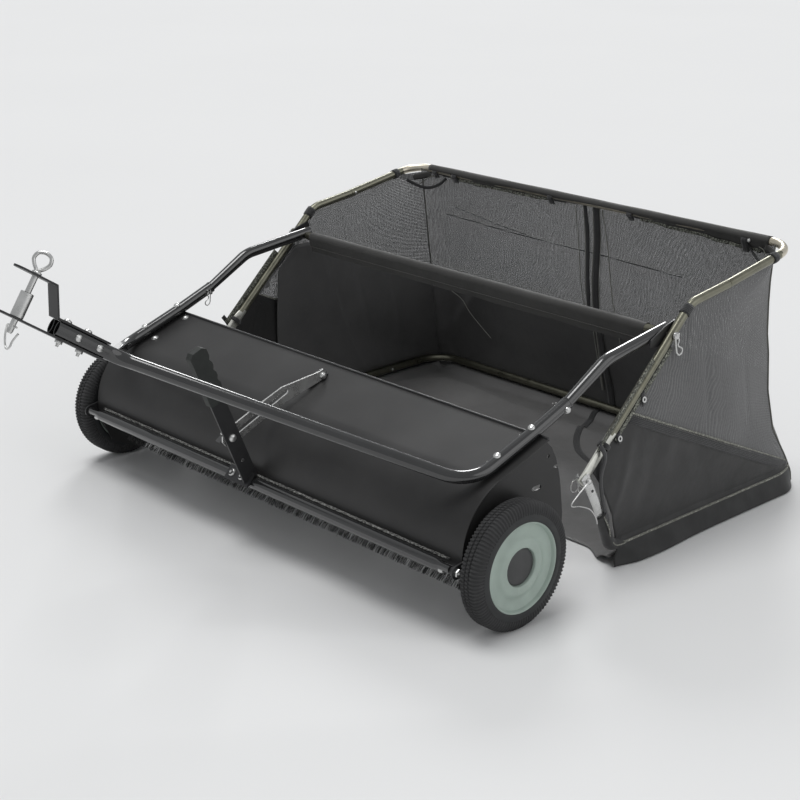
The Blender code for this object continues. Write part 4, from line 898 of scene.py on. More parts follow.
def tyre_shape(s):
    """Tread blocks in three bands with grooves between them, and radial ribs on both shoulders.

    The third number of a ring: 1 for a shoulder, 2 and 3 for blocks that are out of step with each other.
    """
    ribs, per = 104, 4
    steps = ribs * per
    line = [(0.0906, 0.003, 0), (0.09, 0.001, 0), (0.0925, -0.0, 0), (0.096, 0.0002, 0), (0.1015, 0.001, 0),
            (0.1035, 0.0014, 0), (0.1046, 0.0012, 1), (0.11, 0.001, 1), (0.117, 0.0026, 1), (0.1225, 0.0056, 1),
            (0.1258, 0.0092, 2), (0.127, 0.011, 2), (0.127, 0.0185, 2), (0.1236, 0.0192, 0), (0.1236, 0.021, 0),
            (0.127, 0.0217, 3), (0.127, 0.0283, 3), (0.1236, 0.029, 0), (0.1236, 0.0308, 0), (0.127, 0.0315, 2),
            (0.127, 0.039, 2), (0.1258, 0.041, 2), (0.1225, 0.0446, 1), (0.117, 0.0474, 1), (0.11, 0.049, 1),
            (0.1046, 0.0492, 1), (0.1035, 0.0486, 0), (0.1015, 0.049, 0), (0.096, 0.0498, 0), (0.0925, 0.05, 0),
            (0.09, 0.0492, 0), (0.0906, 0.047, 0)]
    points = []
    for r, t, kind in line:
        for i in range(steps):
            a = 2 * math.pi * i / steps
            rib = i % per < 2
            cut_r, cut_x = 0.0, 0.0
            if kind == 1 and not rib:
                cut_x = 0.0016 if t < 0.025 else -0.0016
                cut_r = 0.0012
            if kind == (3 if rib else 2):
                cut_r = 0.0026
            points.append((s * (WHEEL_IN + t + cut_x), (r - cut_r) * math.cos(a),
                           WHEEL_RADIUS + (r - cut_r) * math.sin(a)))
    return (points, net(len(line), steps, closed=True)), steps


# Turned parts as (radius, distance outward from the wheel's inner side)
RIM_LINE = [(0.09, 0.003), (0.09, 0.0476), (0.0893, 0.049), (0.0876, 0.0492), (0.0858, 0.0476), (0.0848, 0.0446),
            (0.0838, 0.042), (0.08, 0.04), (0.073, 0.0388), (0.0665, 0.0388), (0.0625, 0.0396), (0.059, 0.0415),
            (0.056, 0.0432), (0.052, 0.044), (0.044, 0.0445), (0.04, 0.0445), (0.0386, 0.044), (0.0378, 0.0428),
            (0.0374, 0.037), (0.0084, 0.0365), (0.0084, 0.006), (0.016, 0.006), (0.017, 0.032), (0.056, 0.036),
            (0.084, 0.035), (0.0865, 0.028), (0.0865, 0.003)]
CAP_LINE = [(0, 0.0368), (0.0366, 0.0368), (0.0366, 0.0384), (0.0356, 0.0392), (0.033, 0.0396), (0.018, 0.0398),
            (0.012, 0.0402), (0.0, 0.0404)]
TYRE_WALL_RINGS = {*range(6), *range(26, 32)}


def make_wheels():
    for side, s in SIDES:
        body = "wheel_" + side
        shape, steps = tyre_shape(s)
        tyre = show("tyre_tread_" + side, shape, [TYRE, TYRE_WALL], body, ["tyre_" + side], crease=28)
        for face in tyre.data.polygons:
            rings = {v // steps for v in face.vertices}
            if rings <= TYRE_WALL_RINGS:
                face.material_index = 1
        turned_parts = (("rim_", RIM, RIM_LINE, 96, 40), ("hub_cap_", PLASTIC, CAP_LINE, 64, 35))
        for part, look, line, steps, crease in turned_parts:
            shape = lathe([(r, s * (WHEEL_IN + t)) for r, t in line], 0, WHEEL_RADIUS, "X", steps)
            show(part + "smooth_" + side, shape, look, body, [part + side], crease=crease)
        dress("ring_gear_" + side, GEAR, 0.0)


# Hopper frame

def make_side_tube(side, s):
    x = s * SIDE_X
    path = rounded([(x, *SIDE_FOOT), (x, *SIDE_BEND), (x, *SIDE_JOINT)], [0.06], 16)
    path[1:1] = [path[0].lerp(path[1], k) for k in (0.06, 0.12, 0.18, 0.22, 0.236, 0.252, 0.27, 0.29, 0.6)]

    def size(far):
        return flattened(ease((far - 0.0918) / 0.0292), 0.0045, 0.0125, SIDE_RADIUS)
    tube = show("side_tube_smooth_" + side, swept(path, SIDE_RADIUS, 28, (1, 0, 0), size, hollow=(0, 0.02)),
                [TUBE_ZINC, FLAT_ZINC, ZINC], "hopper", ["hopper_side_tube_" + side], crease=50)
    for face in tube.data.polygons:
        if face.center.z < 0.292:
            face.material_index = 1


def make_floor_rail(side, s):
    top = (s * UPRIGHT_X, 0.2381, 0.224)
    bend = (s * UPRIGHT_X, 0.2757, 0.155)
    path = rounded([top, bend, (s * (RAIL_X + 0.006), 0.333, 0.05), (s * RAIL_X, 0.378, RAIL_Z),
                    (s * RAIL_X, 0.785, RAIL_Z)], [0, 0.03, 0.03], 12)
    path[2:2] = [path[1].lerp(path[2], k) for k in (0.25, 0.5, 0.75)]

    def size(far):
        return flattened(clip((far - 0.0786) / 0.105), 0.0042, 0.0115, RAIL_RADIUS)
    rail = show("floor_rail_smooth_" + side, swept(path, RAIL_RADIUS, 28, (1, 0, 0), size, (0, 0.02)),
                [TUBE_ZINC, ZINC], "hopper", ["floor_rail_" + side], crease=50)
    for face in rail.data.polygons:
        if face.center.z > 0.052:
            face.material_index = 1
    stud = dome_bolt((s * (UPRIGHT_X + 0.004), 0.256, 0.191), (s, 0, 0), 0.0032, 0.0018)
    show("upright_rivet_" + side, stud, BLACK, "hopper")


def make_pin_clips(side, s):
    """The clips through the two pins, and the thin bent wire that is tied to the lower pin."""
    spot = (s * (SIDE_X - 0.0152), LOW_PIN_Y + 0.001, LOW_PIN_Z - 0.004)
    lower = hairpin(spot, (0, 0.12, -1), (0, 1, 0.12), 0.036)
    upper = hairpin((s * (SIDE_X + 0.015), 0.488, 0.456), (0, 0.2, -0.98), (0, 0.98, 0.2), 0.05, 0.0021)
    show("pin_clips_" + side, together(lower, upper), ZINC, "hopper")
    x = s * (UPRIGHT_X + 0.0085)
    line = [(x - s * 0.003, 0.245, 0.2165), (x, 0.232, 0.212), (x, 0.211, 0.199), (x, 0.193, 0.186), (x, 0.19, 0.181),
            (x, 0.195, 0.177), (x, 0.217, 0.171), (x, 0.245, 0.157), (x, 0.262, 0.138), (x, 0.268, 0.124),
            (x - s * 0.002, 0.2715, 0.118)]
    show("pin_wire_" + side, swept(curve_through(line, 7), 0.0013, 10), ZINC, "hopper")


def tube_round(right, bend):
    """A tube along both sides and across the rear. Its thinner ends plug into the side tubes."""
    left = [Vector((-p[0], p[1], p[2])) for p in right[::-1]]
    path = rounded([*right, *left], [0, 0, bend, bend, 0, 0], 18)
    total = lengths(path)[-1]

    def plug(far):
        return (PLUG_RADIUS, PLUG_RADIUS) if min(far, total - far) < 0.037 else (SIDE_RADIUS, SIDE_RADIUS)
    return swept(path, SIDE_RADIUS, 28, None, plug)


def make_hopper_frame():
    for side, s in SIDES:
        make_side_tube(side, s)
        make_floor_rail(side, s)
        make_pin_clips(side, s)
        dress("pivot_pin_" + side, ZINC, 0.0005)
        dress("lower_pin_" + side, ZINC, 0.0)
    joint = Vector((SIDE_X, *SIDE_JOINT))
    way = (Vector((SIDE_X, 0.801, 0.549)) - joint).normalized()
    start = joint - (joint - Vector((SIDE_X, *SIDE_BEND))).normalized() * 0.036
    right = [start, joint + way * 0.0006, joint + way * 0.0016, Vector((SIDE_X, BAR_REAR_Y, BAR_TOP_Z))]
    top = show("top_tube_smooth", tube_round(right, 0.055), [TUBE_ZINC, BARE_END], "hopper", ["hopper_top_tube"],
               crease=50)
    for face in top.data.polygons:
        if face.center.y - AXLE_Y > 0.848:
            face.material_index = 1
    right = [Vector(p) for p in ((RAIL_X, 0.749, RAIL_Z), (RAIL_X, 0.7856, RAIL_Z), (RAIL_X, 0.7866, RAIL_Z),
                                 (RAIL_X, REAR_TUBE_Y, RAIL_Z))]
    show("rear_tube_smooth", tube_round(right, 0.07), TUBE_ZINC, "hopper", ["floor_rear_tube"], crease=50)
    dress("cross_tube", TUBE_ZINC, 0.0)
    buttons = []
    for _, s in SIDES:
        spot = joint + way * 0.012
        buttons.append(dome_bolt((s * (SIDE_X - 0.0088), spot.y, spot.z), (-s, 0, 0), 0.0034, 0.0026))
        buttons.append(dome_bolt((s * (RAIL_X - 0.0088), 0.8, RAIL_Z), (-s, 0, 0.3), 0.0036, 0.0028))
    show("joint_buttons", together(*buttons), ZINC, "hopper")


# Bag. v runs from 0 at the top to 1 at the ground, u runs from front to rear or across the back

TOP_Z, LOW_Y = BAR_TOP_Z, 1.0016
HEM = ((0.379, 0.319), (0.94, 0.066))
LINER_LINE = ((0.526, 0.427), (0.985, 0.243))
SEAM = ((0.0, 0.566, 0.982), (0.029, 0.565, 0.978), (0.065, 0.556, 0.966), (0.131, 0.538, 0.937),
        (0.226, 0.531, 0.917), (0.317, 0.531, 0.908), (0.362, 0.53, 0.9), (0.434, 0.532, 0.893),
        (0.485, 0.535, 0.889), (0.526, 0.539, 0.887), (0.575, 0.545, 0.885))
CREASES = (((0.6, 0.392), (0.619, 0.24), 0.004), ((0.539, 0.475), (0.538, 0.414), 0.0045),
           ((0.76, 0.33), (0.8, 0.18), 0.003))


def tube_height(y):
    """Centre line of the upper tube, from its foot to the rear bar."""
    stops = (SIDE_FOOT, SIDE_BEND, SIDE_JOINT, (BAR_REAR_Y, BAR_TOP_Z))
    part = (y >= SIDE_BEND[0]) + (y >= SIDE_JOINT[0])
    (a, low), (b, high) = stops[part:part + 2]
    return low + (high - low) * (y - a) / (b - a)


def rear_edge(z):
    """(x, y) of the left rear seam at a height."""
    z = min(0.575, max(0.0, z))
    for (a, *low), (b, *high) in zip(SEAM, SEAM[1:]):
        if z <= b:
            t = (z - a) / (b - a)
            return low[0] + (high[0] - low[0]) * t, low[1] + (high[1] - low[1]) * t
    return SEAM[-1][1:]


def line_z(line, y):
    (a, b), (c, d) = line
    return b + (d - b) * (y - a) / (c - a)


def wall_x(y, z):
    """Outward place of a side wall: it hangs from the tube, bellies out, and comes in to the floor rail."""
    edge_x, edge_y = rear_edge(z)
    top = tube_height(min(y, BAR_REAR_Y)) - 0.007 if y > 0.24 else 0.21
    v = clip((top - z) / max(0.05, top - OVER_RAIL_Z))
    x = 0.5805 + 0.0165 * arch(v) ** 0.8 - 0.0045 * v
    if z < OVER_RAIL_Z:
        x = rail_flare(z, y)
    reach = (0.075 + 0.225 * ease((z - 0.05) / 0.15)) * (1 - 0.84 * ease((z - 0.42) / 0.14))
    near = clip(1 - (edge_y - y) / reach)
    x += (edge_x - x) * near ** (2.0 - 0.8 * ease((z - 0.45) / 0.12))
    x += 0.0022 * math.sin(17 * y + 9 * z) * arch(v) * (1 - near)
    for (y1, z1), (y2, z2), deep in CREASES:
        along_it = clip((z1 - z) / (z1 - z2))
        off = y - (y1 + (y2 - y1) * along_it)
        fade = arch(clip((z1 + 0.03 - z) / (z1 - z2 + 0.06)))
        x -= deep * bell(off, 0.01) * max(0.0, fade)
    return x


def rail_flare(z, y):
    """The cloth comes over the rail and stands out a little where it meets the ground."""
    line = ((0.003, 0.603), (0.015, 0.5965), (0.03, 0.5895), (0.04, 0.585), (0.046, 0.5803), (0.052, 0.5765))
    z = min(OVER_RAIL_Z, max(0.003, z))
    for (a, low), (b, high) in zip(line, line[1:]):
        if z <= b:
            x = low + (high - low) * (z - a) / (b - a)
            break
    more = 0.008 * bell(y - 0.46, 0.1) * (1 - ease((z - 0.004) / 0.035))
    return x + more - 0.012 * ease((0.4 - y) / 0.065) * (1 - ease((z - 0.01) / 0.04))


def wall_front(z):
    """Front edge of the smooth side cloth, just behind the upright."""
    return 0.262 + 0.09 * min(1.0, 1.3 * max(0.0, 0.2335 - z) / 0.2303) - 0.016 * (1 - ease(z / 0.045))


def wall_mesh(s):
    """The open mesh between the upper tube and the hem."""
    def at(u, v):
        y0 = 0.364
        y = y0 + (0.9 - y0) * u
        for _ in range(4):
            top = tube_height(min(y, BAR_REAR_Y)) - 0.0065
            z = top + (line_z(HEM, min(y, 0.945)) - top) * v
            y = y0 + (rear_edge(z)[1] - y0) * u
        return (s * wall_x(y, z), y, z)
    return at


def wall_tarp(s):
    """Smooth cloth below the hem. It comes over the rail and meets the ground."""
    def at(u, v):
        y = 0.33 + (0.94 - 0.33) * u
        for _ in range(5):
            top = tube_height(y) - 0.0075 if y < 0.3606 else line_z(HEM, y)
            if v < TARP_BEND:
                z = top + (OVER_RAIL_Z - top) * v / TARP_BEND
            else:
                k = (v - TARP_BEND) / 0.38
                z = OVER_RAIL_Z - (OVER_RAIL_Z - 0.0026) * k
            front = wall_front(z)
            y = front + (rear_edge(z)[1] - front) * u
        x = wall_x(y, z)
        k = min(1.0, v / TARP_BEND)
        pull = arch(k) * arch(min(1.0, u * 1.1)) if u < 0.909 else 0.0
        x -= 0.005 * pull
        x += 0.003 * bell(y - 0.393 + 0.1 * k, 0.014) * arch(k)
        x -= 0.0025 * bell(y - 0.47 + 0.06 * k, 0.022) * arch(k)
        return (s * x, y, z)
    return at


def liner_wall(s):
    """The inner cloth on a side wall, from its sloping top edge down behind the floor rail."""
    def at(u, v):
        y = 0.43 + (0.93 - 0.43) * u
        for _ in range(3):
            top = line_z(LINER_LINE, y) if y > LINER_LINE[0][0] else min(tube_height(y) - 0.016, 0.427)
            z = top + (0.032 - top) * v
            y = 0.43 + (rear_edge(z)[1] + 0.0005 - 0.43) * u
        x = wall_x(y, max(z, OVER_RAIL_Z)) - LINER_INSET * (1 - u ** 12)
        x -= 0.013 * arch(v) * (0.5 + 0.5 * math.sin(9 * y + 1.0)) * (1 - u ** 8)
        for start, lean in ((0.3, 0.22), (0.52, 0.1), (0.74, 0.04)):
            x -= 0.006 * bell(u - start - lean * v, 0.022) * arch(v)
        behind = RAIL_X + 0.008
        if z < 0.06:
            x += (behind - x) * ease((0.06 - z) / 0.018) * (1 - u ** 10)
        return (s * x, y, z)
    return at


def back_wall(high, low, inside=0.0, rough=0.0):
    def at(u, v):
        z = high + (low - high) * v
        edge_x, edge_y = rear_edge(z)
        k = 2 * u - 1
        x = edge_x * k
        share = clip((TOP_Z - z) / TOP_Z)
        straight = BAR_REAR_Y + 0.0105 + (LOW_Y - BAR_REAR_Y - 0.0105) * share
        sag = 0.02 * arch(share) ** 2 * (1 - ease((0.16 - z) / 0.12))
        reach = 0.045 + 0.022 * ease((0.1 - z) / 0.06)
        power = 2.5 - 0.5 * ease((0.1 - z) / 0.06) - 1.1 * ease((z - 0.5) / 0.06)
        near = clip((abs(x) - edge_x + reach) / reach) ** power
        y = (straight - sag) * (1 - near) + edge_y * near - inside
        y += 0.004 * math.sin(7.5 * k + 2.5 * z) * arch(share) * (1 - near) * (1 - ease((0.12 - z) / 0.06))
        y += rough * bell(k + 0.8 + 0.9 * (share - 0.62), 0.045) * arch(share)
        return (x, y, z)
    return at


def back_y(x, z):
    """Where the back wall's inner face is, at a place across and a height."""
    edge_x, _ = rear_edge(z)
    k = min(1.0, max(-1.0, x / edge_x))
    return back_wall(z, z)((k + 1) / 2, 0.0)[1]


def floor_sheet(u, v):
    """The floor of the bag: it lies on the ground, folds in front of the rear tube and runs on under it."""
    k = 2 * u - 1
    x = k * FLOOR_HALF
    front = 0.336 + 0.036 * ease((0.56 - abs(x)) / 0.075)
    y = front + (FLOOR_REAR_Y - front) * v
    y = min(y, FLOOR_REAR_Y - 0.07 * max(0.0, (abs(x) - 0.5) / 0.077) ** 2)
    fold = 0.872 + 0.03 * bell(x + 0.42, 0.16) - 0.09 * ease((-x - 0.46) / 0.09)
    hump = 0.022 * bell(y - 0.62, 0.085) * (1 - abs(k) ** 3)
    z = 0.0032 + hump + 0.0035 * (0.5 + 0.5 * math.sin(9 * k + 11 * y)) * (1 - abs(k) ** 4) * arch(v) ** 0.5
    z += 0.013 * bell(y - fold, 0.02 if y > fold else 0.05) * (1 - abs(k) ** 6)
    z += 0.016 * ease((abs(x) - 0.535) / 0.026)
    z += 0.017 * ease((y - 0.948) / 0.03) * (1 - ease((abs(x) - 0.52) / 0.04))
    return (x, y, min(z, 0.0235 if y < 0.95 and abs(x) > 0.55 else 0.034))


def cloth_piece(name, at, across, down, look, replaces=(), thick=0.001):
    """A sheet with a flat size from its own surface. Where its area is more than that, a raised width is worked out,
    but nothing uses it.
    """
    shape, flat, size, area = sheet_of(at, across, down)
    made = show(name, shape, look, "hopper", replaces, flat=flat, crease=80, recalc=False)
    if thick:
        thicken(made, thick)
    wide, long = size
    if area > wide * long:
        wide *= area / (wide * long) * SPARE_WIDTH
    return made


def make_side_walls(side, s):
    cloth_piece("wall_mesh_" + side, wall_mesh(s), 84, 44, MESH, ["side_cloth_" + side], 0.0)
    tarp = cloth_piece("wall_tarpaulin_" + side, wall_tarp(s), 96, 60, [TARP, SKIRT])
    for face in tarp.data.polygons:
        if face.center.z < 0.0385:
            face.material_index = 1
    # A pale speckled cord along the cloth's shoulder over the floor rail: a painted highlight, stepped at the rail's
    # joint.
    ridge = []
    for i in range(81):
        y = 0.372 + (rear_edge(0.043)[1] - 0.372) * i / 80
        step = 0.0016 * bell(y - 0.775, 0.014)
        ridge.append((s * (wall_x(y, 0.043) + 0.0012 + step), y, 0.043 + step))
    show("rail_shoulder_highlight_" + side, swept(ridge, 0.0026, 10), HEM_LINE, "hopper")
    cover = rounded([(s * UPRIGHT_X, 0.289, 0.13), (s * (RAIL_X + 0.006), 0.333, 0.05), (s * RAIL_X, 0.378, RAIL_Z),
                     (s * RAIL_X, 0.43, RAIL_Z)], [0.03, 0.03], 10)
    shape = swept(cover, 0.0126, 20, (1, 0, 0), lambda far: (0.0092 + 0.0036 * ease(far / 0.1), 0.0132))
    flat = [(0.002 * (i % 20), 0.004 * (i // 20)) for i in range(len(shape[0]))]
    show("upright_cover_" + side, shape, TARP, "hopper", flat=flat)
    edge = [(s * (UPRIGHT_X + 0.0098), 0.2885, 0.128), (s * (UPRIGHT_X + 0.009), 0.306, 0.098),
            (s * (RAIL_X + 0.019), 0.322, 0.07), (s * (RAIL_X + 0.018), 0.337, 0.052),
            (s * (RAIL_X + 0.016), 0.352, 0.0445), (s * (RAIL_X + 0.015), 0.376, 0.0425)]
    show("cover_edge_" + side, swept(curve_through(edge, 6), 0.0016, 8), HEM_LINE, "hopper")
    cloth_piece("wall_liner_" + side, liner_wall(s), 72, 34, LINER)
    hem, under = [], []
    for i in range(71):
        y = 0.366 + (rear_edge(0.075)[1] - 0.366 - 0.004) * i / 70
        z = line_z(HEM, y)
        hem.append((s * (wall_x(y, z) + 0.0013), y, z + 0.0008))
        under.append((s * (wall_x(y, z - 0.012) + 0.0008), y, z - 0.0115))
    show("hem_piping_" + side, swept(hem, 0.0024, 10), HEM_LINE, "hopper")
    # A dark webbing band just under the hem, where the hem's shadow falls: painted shade.
    strap("hem_shade_band_" + side, STRAP, 0.001, (s, 0, 0), (under, 0.021))
    rows = [(p[0] + s * 0.0012, p[1], p[2] - 0.0045) for p in hem]
    show("hem_stitches_" + side, stitches(rows, (s, 0, 0)), THREAD, "hopper")
    seam = []
    for i in range(61):
        z = 0.566 - 0.56 * i / 60
        x, y = rear_edge(z)
        seam.append((s * (x + 0.001), y + 0.001, z))
    show("rear_seam_" + side, swept(seam, 0.0017, 10), PIPING, "hopper")


def make_bag():
    for side, s in SIDES:
        make_side_walls(side, s)
        make_tube_bindings(side, s)
        make_corner_window(side, s)
    cloth_piece("back_mesh", back_wall(TOP_Z - 0.004, 0.25), 110, 40, MESH, ["back_cloth"], 0.0)
    cloth_piece("back_tarpaulin", back_wall(0.252, 0.006, 0.0, -0.01), 110, 34, LINER)
    cloth_piece("floor_tarpaulin", floor_sheet, 96, 84, LIT_FLOOR_CLOTH, ["floor_cloth"])
    make_top_sleeve()
    make_back_straps()
    path = [(-0.01, 0.985), (-0.003, 0.953), (0.019, 0.902), (0.062, 0.826), (0.113, 0.772), (0.163, 0.74),
            (0.2, 0.722)]
    line = [(x, y, floor_top(x, y) + 0.0016) for x, y, _ in curve_through([(x, y, 0) for x, y in path], 8)]
    strap("floor_webbing", STRAP, 0.0012, (0, 0, 1), (line, 0.016))


def floor_top(x, y):
    """Height of the floor cloth at a place, found along its own rows."""
    u = (x / FLOOR_HALF + 1) / 2
    low, high = 0.0, 1.0
    for _ in range(24):
        half = (low + high) / 2
        low, high = (half, high) if floor_sheet(u, half)[1] < y else (low, half)
    return floor_sheet(u, low)[2]


def make_tube_bindings(side, s):
    """Woven strips sewn along the upper tube, the black webbing tied round it, and two tabs with eyelets."""
    def beside(y, off):
        way = Vector((0, 0.7236, 0.6902)) if y < 0.552 else Vector((0, 0.985, 0.17))
        up = Vector((0, -way.z, way.y))
        return Vector((s * SIDE_X, y, tube_height(y))) + up * off
    paths = [[beside(y, off) + Vector((s * 0.006, 0, 0)) for y in evenly(first, last, 24)]
             for off, first, last in ((0.0142, 0.287, 0.445), (-0.0145, 0.318, 0.48))]
    strap("woven_strips_" + side, SPECKLED, 0.0016, (s, 0, -0.25), *[(path, 0.013) for path in paths])

    def wrap(y, wide, grow=0.0014):
        way = (beside(y + 0.004, 0) - beside(y - 0.004, 0)).normalized()
        middle = beside(y, 0)
        out = Vector((s, 0, 0))
        up = way.cross(out).normalized()
        r = SIDE_RADIUS + grow
        points = []
        for j in range(5):
            d = (j / 4 - 0.5) * wide
            swell = 1 + 0.05 * math.sin(math.pi * j / 4)
            for i in range(20):
                a = 2 * math.pi * i / 20
                points.append(middle + way * d + out * (r * swell * math.cos(a)) + up * (r * swell * math.sin(a)))
        return points, net(5, 20)
    wraps = together(wrap(0.54, 0.022), wrap(0.828, 0.016), wrap(0.3, 0.01, 0.0026))
    thicken(show("tube_wraps_" + side, wraps, STRAP, "hopper", recalc=False,
                 flat=[(0.002 * i, 0.003 * (i // 20)) for i in range(300)]), 0.001)
    x = s * (SIDE_X + 0.0135)
    line = [(x, 0.272, 0.283), (x, 0.287, 0.262), (x, 0.289, 0.246), (x, 0.281, 0.222), (x, 0.28, 0.2),
            (x, 0.288, 0.163), (x, 0.298, 0.135), (x, 0.306, 0.115), (x - s * 0.003, 0.311, 0.092),
            (x - s * 0.006, 0.314, 0.08)]
    strap("side_webbing_" + side, STRAP, 0.0012, (s, 0, 0.1), (curve_through(line, 6), 0.0105))
    paths, rings = [], []
    for y, z in ((0.327, 0.289), (0.398, 0.35)):
        start = beside(y, -0.006) + Vector((s * 0.0085, 0, 0))
        end = Vector((s * (wall_x(y + 0.006, z - 0.03) + 0.003), y + 0.012, z - 0.02))
        paths.append([start.lerp(end, i / 6) for i in range(7)])
        rings.append(washer(start.lerp(end, 0.55) + Vector((s * 0.001, 0, 0)), (s, 0, 0.2), 0.0062, 0.003, 0.0014))
    strap("eyelet_tabs_" + side, STRAP, 0.0012, (s, 0, 0.2), *[(path, 0.013) for path in paths])
    show("tab_eyelets_" + side, together(*rings), ZINC, "hopper")


def make_corner_window(side, s):
    """The top rear corner: a dark bound edge from the bar to the side tube, round an opening onto the mesh."""
    edge = [(0.515, 0.8915, 0.553), (0.53, 0.889, 0.55), (0.547, 0.878, 0.545), (0.56, 0.866, 0.542),
            (0.57, 0.856, 0.543), (0.577, 0.844, 0.548)]
    path = [Vector((s * x, y, z)) for x, y, z in curve_through(edge, 5)]
    strap("corner_edge_" + side, SLEEVE, 0.0014, (-s * 0.5, -0.8, 0.1), (path, 0.015))
    inner = [(0.466, 0.899, 0.55), (0.474, 0.8985, 0.542), (0.486, 0.896, 0.532), (0.503, 0.889, 0.523),
             (0.522, 0.879, 0.52), (0.545, 0.867, 0.527), (0.564, 0.853, 0.538)]
    path = [Vector((s * x, y - 0.002, z)) for x, y, z in curve_through(inner, 5)]
    strap("corner_band_" + side, STRAP, 0.0014, (-s * 0.5, -0.8, 0.1), (path, 0.0075))
    pale = [(0.5, 0.8945, 0.551), (0.514, 0.89, 0.548), (0.528, 0.884, 0.537), (0.538, 0.878, 0.529)]
    path = [Vector((s * x, y - 0.003, z)) for x, y, z in curve_through(pale, 5)]
    show("corner_piping_" + side, swept(path, 0.0011, 8), PIPING, "hopper")


SLEEVE_LOW = ((-0.53, 0.5535), (-0.45, 0.551), (-0.3, 0.549), (-0.1, 0.551), (0.0, 0.556), (0.11, 0.5555),
              (0.17, 0.551), (0.3, 0.5475), (0.4, 0.542), (0.53, 0.537))


def sleeve_low(x):
    for (a, low), (b, high) in zip(SLEEVE_LOW, SLEEVE_LOW[1:]):
        if x <= b:
            return low + (high - low) * ease((x - a) / (b - a))
    return SLEEVE_LOW[-1][1]


def make_top_sleeve():
    """The cloth sleeve round the top rear bar, with a narrow flap sewn to the mesh below it."""
    def at(u, v):
        x = -0.524 + 1.048 * u
        low = sleeve_low(x)
        r = 0.0104 + 0.0004 * math.sin(31 * x + 2) * math.sin(9 * x)
        if v < 0.12:
            return (x, BAR_REAR_Y + 0.0108, 0.557 + (BAR_TOP_Z - 0.557) * v / 0.12)
        if v < 0.62:
            a = math.pi * (v - 0.12) / 0.5
            return (x, BAR_REAR_Y + (r + 0.0004) * math.cos(a), BAR_TOP_Z + r * math.sin(a))
        k = (v - 0.62) / 0.38
        y = BAR_REAR_Y - 0.0104 + 0.014 * ease(k) + 0.0012 * math.sin(23 * x) * arch(k)
        return (x, y, BAR_TOP_Z + (low - BAR_TOP_Z) * k)
    cloth_piece("top_sleeve", at, 120, 28, SLEEVE, thick=0.0006)
    for name, first, last in (("far", -0.452, -0.1), ("near", 0.165, 0.5)):
        path = []
        for x in evenly(first, last, 40):
            wave = 0.0006 * math.sin(95 * x) + 0.0005 * math.sin(41 * x)
            path.append((x, BAR_REAR_Y - 0.0005 + wave, sleeve_low(x) + 0.0015 + wave))
        strap("speckled_edge_" + name, SPECKLED, 0.0014, (0, -1, 0.1), (path, 0.007))
    # A pale cord in pieces along the top of the sleeve: a painted highlight.
    lines = []
    for first, last in ((-0.5, -0.405), (-0.33, -0.29), (-0.24, -0.06), (0.12, 0.18), (0.2, 0.48)):
        lines.append(swept([(x, BAR_REAR_Y - 0.003, BAR_TOP_Z + 0.0102) for x in evenly(first, last, 24)], 0.0008, 8))
    show("sleeve_top_highlight", together(*lines), THREAD, "hopper")
    paths = []
    for x in (-0.5, -0.43, -0.105, 0.14, 0.462):
        low = sleeve_low(x)
        paths.append([(x, BAR_REAR_Y - 0.0114, 0.565), (x, BAR_REAR_Y - 0.0118, 0.558),
                      (x + 0.001, BAR_REAR_Y - 0.006, low + 0.002), (x + 0.002, BAR_REAR_Y - 0.002, low - 0.007)])
    strap("sleeve_tabs", STRAP, 0.0014, (0, -1, 0.1), *[(path, 0.016) for path in paths])
    snap = dome_bolt((0.474, BAR_REAR_Y - 0.0112, 0.561), (0, -1, 0.1), 0.0042, 0.0022)
    show("sleeve_snap", snap, ZINC, "hopper")


